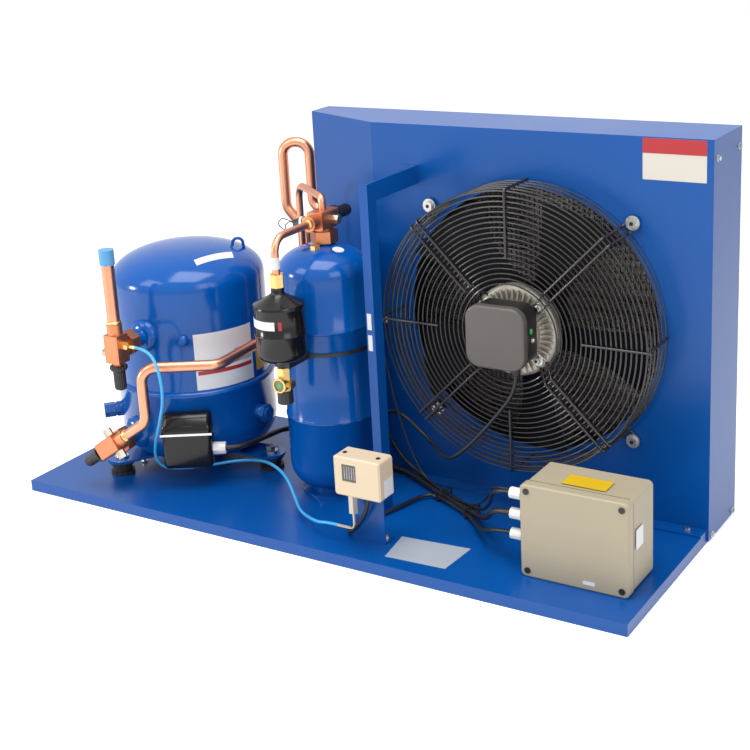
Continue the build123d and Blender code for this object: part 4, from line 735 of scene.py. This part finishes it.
# %% Terminal box
MOTOR_BOX_HALF, MOTOR_BOX_CORNER, MOTOR_BOX_SPAN = 50, 22, (-20, 20)
MOTOR_LID_HALF, MOTOR_LID_CORNER, MOTOR_LID_SPAN, MOTOR_LID_ROUND = 52, 24, (-31, -17), 4
MOTOR_BOX_SIDE, CORNER_STEPS = 51, 8
MOTOR_BOX_PLACE = Matrix(((0, 1, 0, FAN_X), (1, 0, 0, 0), (0, 0, 1, FAN_Z + 8), (0, 0, 0, 1)))


def rounded_square(half, corner):
    """Outline of a square with round corners, about its centre."""
    points = []
    for quarter, (a, b) in enumerate(((1, 1), (-1, 1), (-1, -1), (1, -1))):
        for k in range(CORNER_STEPS + 1):
            turn = math.pi / 2 * (quarter + k / CORNER_STEPS)
            points.append((a * (half - corner) + corner * math.cos(turn),
                           b * (half - corner) + corner * math.sin(turn)))
    return points


motor_box = drawn("motor_box", rounded_square(MOTOR_BOX_HALF, MOTOR_BOX_CORNER), *MOTOR_BOX_SPAN,
                  "black plastic", 0, MOTOR_BOX_PLACE)
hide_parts("fan_terminal_box")
motor_lid = drawn("motor_box_lid", rounded_square(MOTOR_LID_HALF, MOTOR_LID_CORNER), *MOTOR_LID_SPAN,
                  "black lid", MOTOR_LID_ROUND, MOTOR_BOX_PLACE, only_rim=True)
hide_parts("fan_terminal_lid")
lathe("motor_box_dot", [(0, 0), (4.5, 0), (4.5, 1.2), (0, 1.2)], (FAN_X + MOTOR_BOX_SIDE, -3, FAN_Z + 18),
      (1, 0, 0), "green plastic", segments=32)
for name, side in (("right", 1), ("left", -1)):
    bolt(f"motor_box_screw_{name}", (FAN_X + side * MOTOR_BOX_SIDE, 2, FAN_Z + 2), (side, 0, 0), 5, 4)
lathe("motor_gland", [(0, 0), (7.4, 0), (8, 1), (8, 12), (6.5, 14), (0, 14)], (305, -6, 280.5), (0, 0, 1),
      "black plastic", segments=32)
# A thin black hexagon on each guard bolt is painted shade for its socket's recess.
for spoke, diagonal in enumerate(DIAGONALS):
    lathe(f"guard_bolt_recess_shade_{spoke}", [(0, 0), (3.6, 0), (3.6, 0.3), (0, 0.3)],
          fan_point(FOOT_END, 88.6, diagonal), (0, -1, 0), "black plastic", segments=6)
print("terminal box with lid, dot, two screws and gland")

# %% [markdown]
# ## The coil behind the fan
#
# The condenser is a pack of some three hundred thin aluminium fins on rows of copper tube. The fins could be
# one striped block, but at a low angle a block shows no depth. They are real plates instead, each only a box
# of six faces. One tree sets boxes in an even row: upright for fins, level for tubes, and thinner ones in
# front for the fins' bent edges that show between the blades.

# %% The tree of bars
def row_tree():
    """Bars in an even row."""
    tree, given = empty_tree("row", Count="Int", Start="Vector", Step="Vector", Size="Vector",
                             Finish="Material")
    line = add_node(tree, "GeometryNodeMeshLine", Count=given["Count"], Start_Location=given["Start"],
                    Offset=given["Step"])
    cube = add_node(tree, "GeometryNodeMeshCube", Size=given["Size"])
    bars = add_node(tree, "GeometryNodeInstanceOnPoints", Points=line, Instance=cube)
    return close_tree(tree, bars, given["Finish"])


ROW = row_tree()
print("tree of bars:", len(ROW.nodes), "nodes")

# %% Fins and tube rows, in metres, from the size of the CAD coil
FIN_COUNT, FIN_THICKNESS = 290, 0.0005
TUBE_COUNT, TUBE_PITCH, TUBE_WIDTH = 24, 0.025, 0.010

fin_low, fin_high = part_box("coil_fins")
middle_x, middle_y, middle_z = ((low + high) / 2 for low, high in zip(fin_low, fin_high))
wide, deep, tall = (high - low for low, high in zip(fin_low, fin_high))
fins = grown("coil_fin_pack", ROW, "aluminium", Count=FIN_COUNT,
             Start=(fin_low.x + FIN_THICKNESS, middle_y, middle_z),
             Step=((wide - 2 * FIN_THICKNESS) / (FIN_COUNT - 1), 0, 0), Size=(FIN_THICKNESS, deep, tall))
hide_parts("coil_fins")
grown("coil_tube_rows", ROW, "copper", Count=TUBE_COUNT,
      Start=(middle_x, middle_y, fin_low.z + TUBE_PITCH / 2), Step=(0, 0, TUBE_PITCH),
      Size=(wide, TUBE_WIDTH, TUBE_WIDTH))

# %% The coil's front edges, in metres
EDGE_COUNT, EDGE_PITCH, EDGE_START, EDGE_SIZE = 74, 0.009, (-0.112, 0.1885, 0.335), (0.0011, 0.003, 0.60)
LEVEL_COUNT, LEVEL_PITCH, LEVEL_START = 49, 0.012, (0.2165, 0.1875, 0.047)
LEVEL_SIZE = (0.655, 0.0025, 0.0016)

# The front edges and the level rows take the darkened brown: painted shade for the coil behind the fan.
grown("coil_fin_edges", ROW, "coil shade brown", Count=EDGE_COUNT, Start=EDGE_START, Step=(EDGE_PITCH, 0, 0),
      Size=EDGE_SIZE)
grown("coil_level_rows", ROW, "coil shade brown", Count=LEVEL_COUNT, Start=LEVEL_START, Step=(0, 0, LEVEL_PITCH),
      Size=LEVEL_SIZE)

# %% [markdown]
# ## Pressure vessels
#
# The compressor's shells and the receiver are pressed steel cups with domed ends, welded together. A dome
# could be half an ellipsoid, but a pressed one is fuller at its shoulder. Each crown here follows one rounded
# rule, a power curve between the wall and the top. The same rule tells how high a label lies on it later.

# %% The rule of a crown
POWER = 2.2
COMPRESSOR, SHELL_RADIUS, UPPER_RADIUS = (-371.5, 15.5), 144.0, 140.0
RECEIVER, RECEIVER_RADIUS = (-57.0, 0.0), 79.5
UPPER_CROWN = (UPPER_RADIUS, 371, 62)
RECEIVER_CROWN = (RECEIVER_RADIUS, 415, 47)
UP = (0, 0, 1)
CROWN_STEPS = 18


def crown_height(r, wall, shoulder, height):
    """Height of a crown at a radius."""
    return shoulder + height * max(0.0, 1 - min(1.0, r / wall) ** POWER) ** (1 / POWER)


def crown(wall, shoulder, height):
    """(radius, height) points from the wall up to the top of a crown."""
    points = []
    for k in range(CROWN_STEPS):
        t = math.pi / 2 * k / CROWN_STEPS
        points.append((wall * math.cos(t) ** (2 / POWER), shoulder + height * math.sin(t) ** (2 / POWER)))
    return points + [(0, shoulder + height)]


def outward(angle):
    """The level direction at an angle, in degrees."""
    a = math.radians(angle)
    return (math.cos(a), math.sin(a), 0)


def at_shell(angle, r, z):
    """A point about the compressor's axis."""
    x, y, _ = outward(angle)
    return (COMPRESSOR[0] + r * x, COMPRESSOR[1] + r * y, z)


def rounded(centre, size, step):
    """(radius, height) points of a quarter turn, from the bottom of a cup out to its wall."""
    turns = [math.radians(a) for a in range(0, 91, step)]
    return [(centre[0] + size[0] * math.sin(t), centre[1] - size[1] * math.cos(t)) for t in turns]


print("crowns rise", UPPER_CROWN[2], "and", RECEIVER_CROWN[2], "mm")

# %% Compressor shells
upper = lathe("upper_shell", [(0, 190), (UPPER_RADIUS, 190), (UPPER_RADIUS, 300)] + crown(*UPPER_CROWN),
              (*COMPRESSOR, 0), UP, "gloss blue", segments=128)
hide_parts("compressor_upper_shell")
seam = [(SHELL_RADIUS, 180), (SHELL_RADIUS + 2.6, 184), (SHELL_RADIUS + 3, 187), (SHELL_RADIUS + 2, 190),
        (UPPER_RADIUS + 2, 192.5), (UPPER_RADIUS - 1, 193), (0, 193)]
lower = lathe("lower_shell", [(0, 50)] + rounded((96, 106), (48, 56), 10) + seam, (*COMPRESSOR, 0), UP,
              "gloss blue", segments=128)
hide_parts("compressor_lower_shell")
print("shells:", 2 * SHELL_RADIUS, "mm across the seam")

# %% Bosses, nipple and lifting lug
PORT_BOSS = [(0, 95), (29, 95), (29, 127), (26, 131), (22, 134.5), (15, 136), (14, 138), (14, 166), (0, 166)]
OIL_BOSS = [(0, 0), (14, 0), (14, 18), (12.5, 20.5), (12, 22), (0, 22)]
NIPPLE = [(0, 0), (9, 0), (9.5, 11), (8, 13), (6, 14.5), (7.5, 17), (7.5, 19), (5, 21.5), (0, 22)]
LUG_ANGLE, LUG_TOP = 35, 433.6

for name, x, z in (("suction", -365, 297), ("discharge", -402, 109)):
    lathe(name + "_boss", PORT_BOSS, (x, 0, z), (0, -1, 0), "gloss blue")
for name, angle, z in (("oil", -133, 132), ("eye", -2, 128)):
    lathe(name + "_boss", OIL_BOSS, at_shell(angle, 134, z), outward(angle), "gloss blue")
lathe("nipple", NIPPLE, at_shell(-57, 130, 290), outward(-57), "gloss blue")
lug, reach = Vector(at_shell(LUG_ANGLE, 96, 0)), Vector(outward(LUG_ANGLE))
hoop = [lug + reach * along + Vector((0, 0, z))
        for along, z in ((-12, 404), (-8.5, LUG_TOP), (8.5, LUG_TOP), (12, 400))]
tube("lifting_lug", hoop, 2.9, 9, "gloss blue")
print("four bosses, a nipple and the lifting lug")

# %% Receiver
BEAD_RISE, BEAD_HALF = 1.6, 4
STUB = [(0, 450), (17, 450), (17, 462), (14, 464), (14, 474.3), (0, 474.3)]

turns = [math.radians(a) for a in range(-90, 91, 18)]
bead = [(RECEIVER_RADIUS + BEAD_RISE * math.cos(t) ** 2, math.sin(t) * BEAD_HALF) for t in turns]
barrel = [(0, 34), (44, 34.5)] + rounded((46, 76), (33.5, 41), 9)
for seam_height in (165, 327):
    barrel += [(r, seam_height + z) for r, z in bead]
vessel = lathe("receiver_vessel", barrel + crown(*RECEIVER_CROWN), (*RECEIVER, 0), UP, "gloss blue",
               segments=112)
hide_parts("receiver_shell")
lathe("receiver_stub", STUB, (-57, 8, 0), UP, "gloss blue")
print("receiver:", 2 * RECEIVER_RADIUS, "mm wide")

# %% [markdown]
# ## The filter drier and its band
#
# The drier is a spun steel can, gloss black, with two rolled necks and a ridge where its halves meet. It is
# one turned form, with a few close points at each ridge to keep it crisp. Its paper band could be a stripe in
# the paint, but a real band stands proud, so it is a thin sheet wrapped round part of the can.

# %% How a label is wrapped
WRAP_PIECES = 24


def wrapped_label(name, centre, radius, angles, heights, material, thick=0.3):
    """A thin sticker wrapped round an upright cylinder between two angles, in degrees."""
    vertices, faces = [], []
    for k in range(WRAP_PIECES + 1):
        angle = math.radians(angles[0] + (angles[1] - angles[0]) * k / WRAP_PIECES)
        for r in (radius, radius + thick):
            for z in heights:
                vertices.append((centre[0] + r * math.cos(angle), centre[1] + r * math.sin(angle), z))
    for k in range(WRAP_PIECES):
        a, b = 4 * k, 4 * k + 4
        faces += [(a, a + 1, b + 1, b), (a + 2, a + 3, b + 3, b + 2), (a, a + 2, b + 2, b),
                  (a + 1, a + 3, b + 3, b + 1)]
    faces += [(0, 1, 3, 2), tuple(4 * WRAP_PIECES + k for k in (0, 1, 3, 2))]
    return piece_of(name, vertices, faces, material)


print("wrapped label ready")

# %% Drier
DRIER = (-57.0, -134.0)
DRIER_PROFILE = [
    (0, 285.2), (9, 285.2), (9, 296), (17, 298), (33, 302), (39, 306), (41.6, 311), (42, 316), (42, 343.5),
    (43.2, 345), (43.8, 347), (43.2, 349), (42, 350.5), (42, 388), (43.2, 390), (43.4, 393), (42, 396),
    (37, 398), (26, 403.5), (17, 409), (12, 412), (11, 414), (11, 416), (9.8, 417), (11, 418), (11, 422.8),
    (0, 422.8)]
BAND_RADIUS, BAND_HEIGHTS = 42.05, (361, 375.5)

drier = lathe("drier_can", DRIER_PROFILE, (*DRIER, 0), UP, "black paint")
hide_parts("drier_body")
wrapped_label("drier_band", DRIER, BAND_RADIUS, (-158, -66), BAND_HEIGHTS, "white label")
wrapped_label("drier_band_end", DRIER, BAND_RADIUS, (-58, -50), BAND_HEIGHTS, "red label")
print("drier from", DRIER_PROFILE[0][1], "to", DRIER_PROFILE[-1][1], "mm")

# %% [markdown]
# ## Copper tubes
#
# The hot gas leaves through a three quarter inch tube that loops up behind the receiver, and the liquid runs
# in half inch tube. A bevelled curve could draw them, but its bends would follow its handles. Here each line
# is the corners where its bender stood, with one bend radius for all, as on a workshop drawing. Where a tube
# enters a fitting, a small turned collar shows the brazing.

# %% Copper lines
HOT_RADIUS, LIQUID_RADIUS, BEND_RADIUS = 9.5, 6.35, 26

hot = tube("discharge_tube", [
    (-365.52, -196, 133.6), (-315, -196, 167.68), (-315, -196, 267), (-203, -125, 265), (-220, 186, 268),
    (-220, 186, 425), (-257, 180, 470), (-257, 180, 592), (-209, 197, 592), (-209, 197, 468),
    (-165, 197, 468)], HOT_RADIUS, BEND_RADIUS, "copper", sides=32)
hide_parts("discharge_line")
liquid = tube("liquid_tube", [
    (-156, 188, 120), (-156, 81, 120), (-156, 81, 541), (-57, 8, 541), (-57, 8, 519.5)], LIQUID_RADIUS,
    BEND_RADIUS, "copper")
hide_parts("copper_lines")
tube("drier_tube", [(-57, -36, 504), (-57, -134, 504), (-57, -134, 445)], LIQUID_RADIUS, BEND_RADIUS,
     "copper")
print("tubes of", 2 * HOT_RADIUS, "and", 2 * LIQUID_RADIUS, "mm")

# %% Suction stub, brazing and the moisture eye
SUCTION, DISCHARGE_VALVE = (-365, -196, 0), (-402, -196, 109)
SUCTION_RADIUS = 11.1
slope = (math.cos(math.radians(34)), 0, math.sin(math.radians(34)))

lathe("suction_tube", [(0, 330), (SUCTION_RADIUS, 330), (SUCTION_RADIUS, 470), (0, 470)], SUCTION, UP,
      "copper")
lathe("suction_braze", [(SUCTION_RADIUS, 340.5), (12.6, 341.5), (12.8, 343), (12, 345),
                        (SUCTION_RADIUS, 345.6)], SUCTION, UP, "brass")
lathe("discharge_braze", [(HOT_RADIUS, 43.6), (11.8, 44.4), (12, 46), (10.6, 48.5), (HOT_RADIUS, 49.4)],
      DISCHARGE_VALVE, slope, "brass")
lathe("drier_tube_braze", [(6.3, 0), (8.4, 1), (8.4, 3), (6.3, 5)], (-57, -35.8, 504), (0, -1, 0), "brass")
lathe("drier_tube_band", [(6.4, 453), (6.9, 453), (6.9, 473), (6.4, 473)], (*DRIER, 0), UP, "white label")
lathe("eye_dot", [(0, 0), (4, 0), (4, 0.3), (0, 0.3)], (-57, -148.4, 257), (0, -1, 0), "green plastic",
      segments=24)
lathe("eye_rim", [(10.4, 0), (12.4, 0), (13, 1), (13, 4), (12, 5), (10, 5), (9.6, 2.5), (9.6, 0)],
      (-57, -145.5, 257), (0, -1, 0), "brass", segments=48)
print("brazing collars, tube band and eye rim")

# %% [markdown]
# ## The service branch
#
# A small capped branch leans out of the receiver's valve. Behind its cap sits a white ring, and the cap hangs
# on a loop of thin wire. The loop needs no spline: a tube with round bends through a few points looks sprung.

# %% Branch
LOOP_WIRE = 0.9
lean = (-math.cos(math.radians(15)), 0, -math.sin(math.radians(15)))

lathe("branch_band", [(0, 24.2), (11.6, 24.2), (11.6, 28.8), (0, 28.8)], (-71.5, 8, 500), lean,
      "white plastic", segments=40)
for name, points in (
        ("upper", [(-111, 8, 491), (-138, 2, 500), (-150, 2, 488), (-136, 4, 478), (-111, 8, 488)]),
        ("lower", [(-111, 8, 489), (-130, 12, 492), (-144, 12, 482), (-128, 10, 472), (-110, 8, 486)])):
    tube(f"branch_loop_{name}", points, LOOP_WIRE, 7, "wire black", sides=10)
print("branch ring and two loops")

# %% [markdown]
# ## Seal caps
#
# A black cap with ribs for the fingers closes each service valve. Its ribs could be blocks set round it, but
# they are moulded in and round, so the turned form's radius is rippled on the points of its grip. Each cap is
# hollow, fits over its valve's neck, and rides on its own body, so it can be pulled off.

# %% Valve caps
CAP = [(0, 37), (8.2, 37), (8.2, 0), (14.6, 0), (15, 2), (15, 5), (13.6, 8), (11.2, 9.5), (10.3, 12),
       (10.1, 38), (9.6, 41.5), (8.2, 43.6), (0, 44)]
CAP_RIBS, CAP_GRIP = (18, 0.045), (3, 4, 5, 8, 9, 10)

for name, mouth, direction in (
        ("suction", (-365, -196, 265), (0, 0, -1)),
        ("discharge", Vector(DISCHARGE_VALVE) - Vector(slope) * 32, -Vector(slope)),
        ("receiver", (-57, 40, 504), (0, 1, 0))):
    cap = lathe(f"{name}_cap_ribbed", CAP, mouth, direction, "black plastic", body=f"{name}_cap",
                segments=144, wave=CAP_RIBS, waved=CAP_GRIP)
    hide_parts(f"{name}_valve_cap")
print("three caps with", CAP_RIBS[0], "ribs each")

# %% [markdown]
# ## The terminal cover on the compressor
#
# A moulded cover hides the compressor's terminals. Seen from its side it has a sloping top. A block with one
# edge cut off would come close, but the outline is the same across the whole width, so it is drawn along that
# width and every edge is rounded. A matrix turns it to face out from the shell.

# %% Terminal cover
COVER_ANGLE, COVER_HALF, COVER_ROUND = -59, 44, 9
COVER_SIDE = [(-137, 62), (-178, 62), (-178, 139), (-160, 160), (-137, 160)]

out = Vector(outward(COVER_ANGLE))
cover_place = Matrix(((-out.y, -out.x, 0, COMPRESSOR[0]), (out.x, -out.y, 0, COMPRESSOR[1]), (0, 0, 1, 0),
                      (0, 0, 0, 1)))
cover = drawn("terminal_cover", COVER_SIDE, -COVER_HALF, COVER_HALF, "black paint", COVER_ROUND, cover_place)
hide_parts("compressor_terminal_cover")
block("cover_pull", (-14, -176.5, 142), (14, -168, 143.5), "black plastic", 0.5, cover_place)
print("terminal cover", 2 * COVER_HALF, "mm wide")

# %% [markdown]
# ## Blank labels
#
# Stickers and plates are thin sheets, all left plain. A flat one is four corners with a little thickness. One
# on a crown has to follow the dome: a grid is laid over it in plan, and the crown's own rule gives each
# point's height. A Shrinkwrap modifier would do it too, but would need the vessel as its target.

# %% Label helpers
LABEL_THICK, LABEL_LIFT, CROWN_LIFT = 0.25, 0.1, 0.35
LABEL_COLUMNS, LABEL_ROWS = 14, 4


def label(name, corners, material):
    """A thin blank sticker from four corners, standing off along their normal."""
    corners = [Vector(c) for c in corners]
    normal = (corners[1] - corners[0]).cross(corners[2] - corners[0]).normalized()
    vertices = [c + normal * lift for lift in (LABEL_LIFT, LABEL_LIFT + LABEL_THICK) for c in corners]
    sides = [(k, (k + 1) % 4, (k + 1) % 4 + 4, k + 4) for k in range(4)]
    return piece_of(name, vertices, [(0, 1, 2, 3), (4, 5, 6, 7)] + sides, material, sharp=0)


def front_label(name, low, high, y, material):
    """An upright label that faces the front, from its lower left and upper right (x, z)."""
    label(name, [(low[0], y, low[1]), (high[0], y, low[1]), (high[0], y, high[1]), (low[0], y, high[1])],
          material)


def side_label(name, low, high, x, material):
    """An upright label that faces the right, from its lower front and upper rear (y, z)."""
    label(name, [(x, low[0], low[1]), (x, high[0], low[1]), (x, high[0], high[1]), (x, low[0], high[1])],
          material)


def crown_label(name, corners, centre, dome, material):
    """A sticker laid on a crown, from four corners in plan."""
    corners = [Vector((*c, 0)) for c in corners]
    vertices, faces = [], []
    for j in range(LABEL_ROWS + 1):
        for i in range(LABEL_COLUMNS + 1):
            left = corners[0].lerp(corners[3], j / LABEL_ROWS)
            right_end = corners[1].lerp(corners[2], j / LABEL_ROWS)
            point = left.lerp(right_end, i / LABEL_COLUMNS)
            r = math.hypot(point.x - centre[0], point.y - centre[1])
            vertices.append((point.x, point.y, crown_height(r, *dome) + CROWN_LIFT))
    row = LABEL_COLUMNS + 1
    for j in range(LABEL_ROWS):
        for i in range(LABEL_COLUMNS):
            a = j * row + i
            faces.append((a, a + row, a + row + 1, a + 1))
    return piece_of(name, vertices, faces, material)


print("label helpers ready")

# %% Labels on the vessels
PLATE_RADIUS, PRINT_RADIUS = UPPER_RADIUS + 0.1, UPPER_RADIUS + 0.4
SPOT = (-19, -8)

crown_label("shell_label", [(-302.8, -44.4), (-277.1, 31.7), (-262.2, 17.3), (-289.6, -53.5)], COMPRESSOR,
            UPPER_CROWN, "white label")
arm = Vector((SPOT[0] - RECEIVER[0], SPOT[1]))
fall = (crown_height(arm.length - 1, *RECEIVER_CROWN) - crown_height(arm.length + 1, *RECEIVER_CROWN)) / 2
lathe("receiver_label", [(0, -0.6), (10, -0.6), (10, 0.5), (0, 0.5)],
      (*SPOT, crown_height(arm.length, *RECEIVER_CROWN)), Vector((*(arm.normalized() * fall), 1)),
      "white label", segments=40)
wrapped_label("nameplate", COMPRESSOR, PLATE_RADIUS, (-50, -3), (195, 299), "white label", 0.25)
wrapped_label("nameplate_band", COMPRESSOR, PRINT_RADIUS, (-48.5, -4.5), (223, 230), "red label", 0.15)
wrapped_label("nameplate_field", COMPRESSOR, PRINT_RADIUS, (-20, -4.5), (236, 262), "grey label", 0.15)
wrapped_label("shell_sticker", COMPRESSOR, PLATE_RADIUS, (1, 19), (205, 243), "yellow label", 0.25)
print("six labels on the vessels")

# %% Labels on the sheet metal
TRAY_FLOOR, POST_FRONT = 20, -58

front_label("panel_plate", (476, 588), (577, 652), PANEL_Y, "plate cream")
front_label("panel_plate_band", (476, 629), (577, 652), PANEL_Y - 0.4, "red label")
label("tray_label", [(152.7, -127.8, TRAY_FLOOR), (164.2, -200.2, TRAY_FLOOR), (270.6, -194.9, TRAY_FLOOR),
                     (274.7, -117.7, TRAY_FLOOR)], "grey label")
print("plate, band and tray label")

# %% Seams and labels of the electrical box
BOX_FRONT, BOX_RIGHT, BOX_TOP, SEAM_FRONT, SEAM_BACK = -161, 560, 172, -143.4, -142.6

# The seams are thin black strips: painted shadow in the gap where the lid meets the box.
for name, low, high in (("left", (384.8, 26), (385.1, 166)), ("right", (559.9, 26), (560.2, 166)),
                        ("top", (391, 171.9), (554, 172.2))):
    block(f"lid_gap_shadow_{name}", (low[0], SEAM_FRONT, low[1]), (high[0], SEAM_BACK, high[1]), "black plastic")
lathe("box_centre_mark", [(0, 0), (2.6, 0), (3, 0.15), (3, 0.5), (0, 0.5)], (472.5, BOX_FRONT, 96),
      (0, -1, 0), "cream", segments=32)
front_label("box_foot_label", (487, 29), (506, 35), BOX_FRONT, "white label")
label("box_sticker", [(441, -133, BOX_TOP), (512, -133, BOX_TOP), (512, -98, BOX_TOP), (441, -98, BOX_TOP)],
      "yellow label")
side_label("box_side_label", (-134, 88), (-107, 120), BOX_RIGHT, "white label")
print("three seams, a mark and three labels")

# %% Labels of the switch and the post
SWITCH_RIGHT, WINDOW_FRONT, SCALE_STEP = 165, -203.6, 4.5

side_label("switch_side_label", (-192, 117), (-167, 146), SWITCH_RIGHT, "white label")
for name, low, high in (("upper", 342, 370), ("lower", 306, 333)):
    front_label(f"post_label_{name}", (63.5, low), (71.5, high), POST_FRONT, "white label")
block("switch_window", (95.2, WINDOW_FRONT, 139.2), (120.8, -202.55, 167.8), "dark window", 0.2)
for k in range(5):
    x = 99 + SCALE_STEP * k
    block(f"switch_scale_{k}", (x, WINDOW_FRONT - 0.15, 143), (x + 0.5, WINDOW_FRONT, 164), "white label")
print("switch label, two post labels and the window with its scale")

# %% [markdown]
# ## Light and floor
#
# The unit stands in a white room under soft lamps. Turning the lamps up until the floor burns out would wash
# out the paint as well. A Light Path node is the better way: rays that come from the camera, or that metal or
# glass passes on, see a floor and a world of full white, and all other rays see a plain level of light. The
# floor still takes the object's shadow.

# %% Floor and world
BACKDROP_GAIN, ROOM_LEVEL, FLOOR_ROUGHNESS = 0.5, 0.5, 0.9
WHITE, FLOOR_COLOUR = (1, 1, 1, 1), (0.95, 0.95, 0.95, 1)


def looked_at(tree):
    """1 for a ray that shows the backdrop to the camera, by metal or through glass, 0 for all others."""
    camera_ray, glossy_ray, through_ray = (
        Value(tree, add_node(tree, "ShaderNodeLightPath", output=f"Is {kind} Ray"))
        for kind in ("Camera", "Glossy", "Transmission"))
    return camera_ray.larger(glossy_ray.larger(through_ray))


bpy.ops.mesh.primitive_plane_add(size=40, location=(0, 0, -0.0005))
floor = bpy.context.object
floor.name = "floor"
paper = bpy.data.materials.new("floor white")
paper.use_nodes = True
tree = paper.node_tree
shader = tree.nodes["Principled BSDF"]
for key, value in (("Base Color", FLOOR_COLOUR), ("Roughness", FLOOR_ROUGHNESS), ("Emission Color", WHITE)):
    shader.inputs[key].default_value = value
tree.links.new((looked_at(tree) * BACKDROP_GAIN).socket, shader.inputs["Emission Strength"])
floor.data.materials.append(paper)

world = bpy.data.worlds.new("studio")
scene.world = world
world.use_nodes = True
sky = world.node_tree
background = sky.nodes["Background"]
background.inputs["Color"].default_value = WHITE
sky.links.new((ROOM_LEVEL + looked_at(sky) * BACKDROP_GAIN).socket, background.inputs["Strength"])
print("floor and world ready")

# %% Lamps
def area_light(name, place, target, size, power):
    """A soft square lamp that faces its target."""
    lamp = bpy.data.lights.new(name, "AREA")
    lamp.shape, lamp.size, lamp.energy = "SQUARE", size, power
    piece = bpy.data.objects.new(name, lamp)
    piece.location = place
    piece.rotation_euler = (Vector(target) - Vector(place)).to_track_quat("-Z", "Y").to_euler()
    scene.collection.objects.link(piece)
    print("lamp", name, power, "W")


area_light("key", (-1.6, -2.4, 2.6), (0, 0, 0.3), 1.5, 34)
area_light("side", (-2.6, -2.0, 0.75), (0.3, 0, 0.35), 0.5, 30)
area_light("top", (0.2, -0.5, 2.6), (0.1, -0.1, 0), 1.6, 52)
area_light("fill", (2.8, -1.4, 1.8), (0.1, 0, 0.3), 1.6, 26)
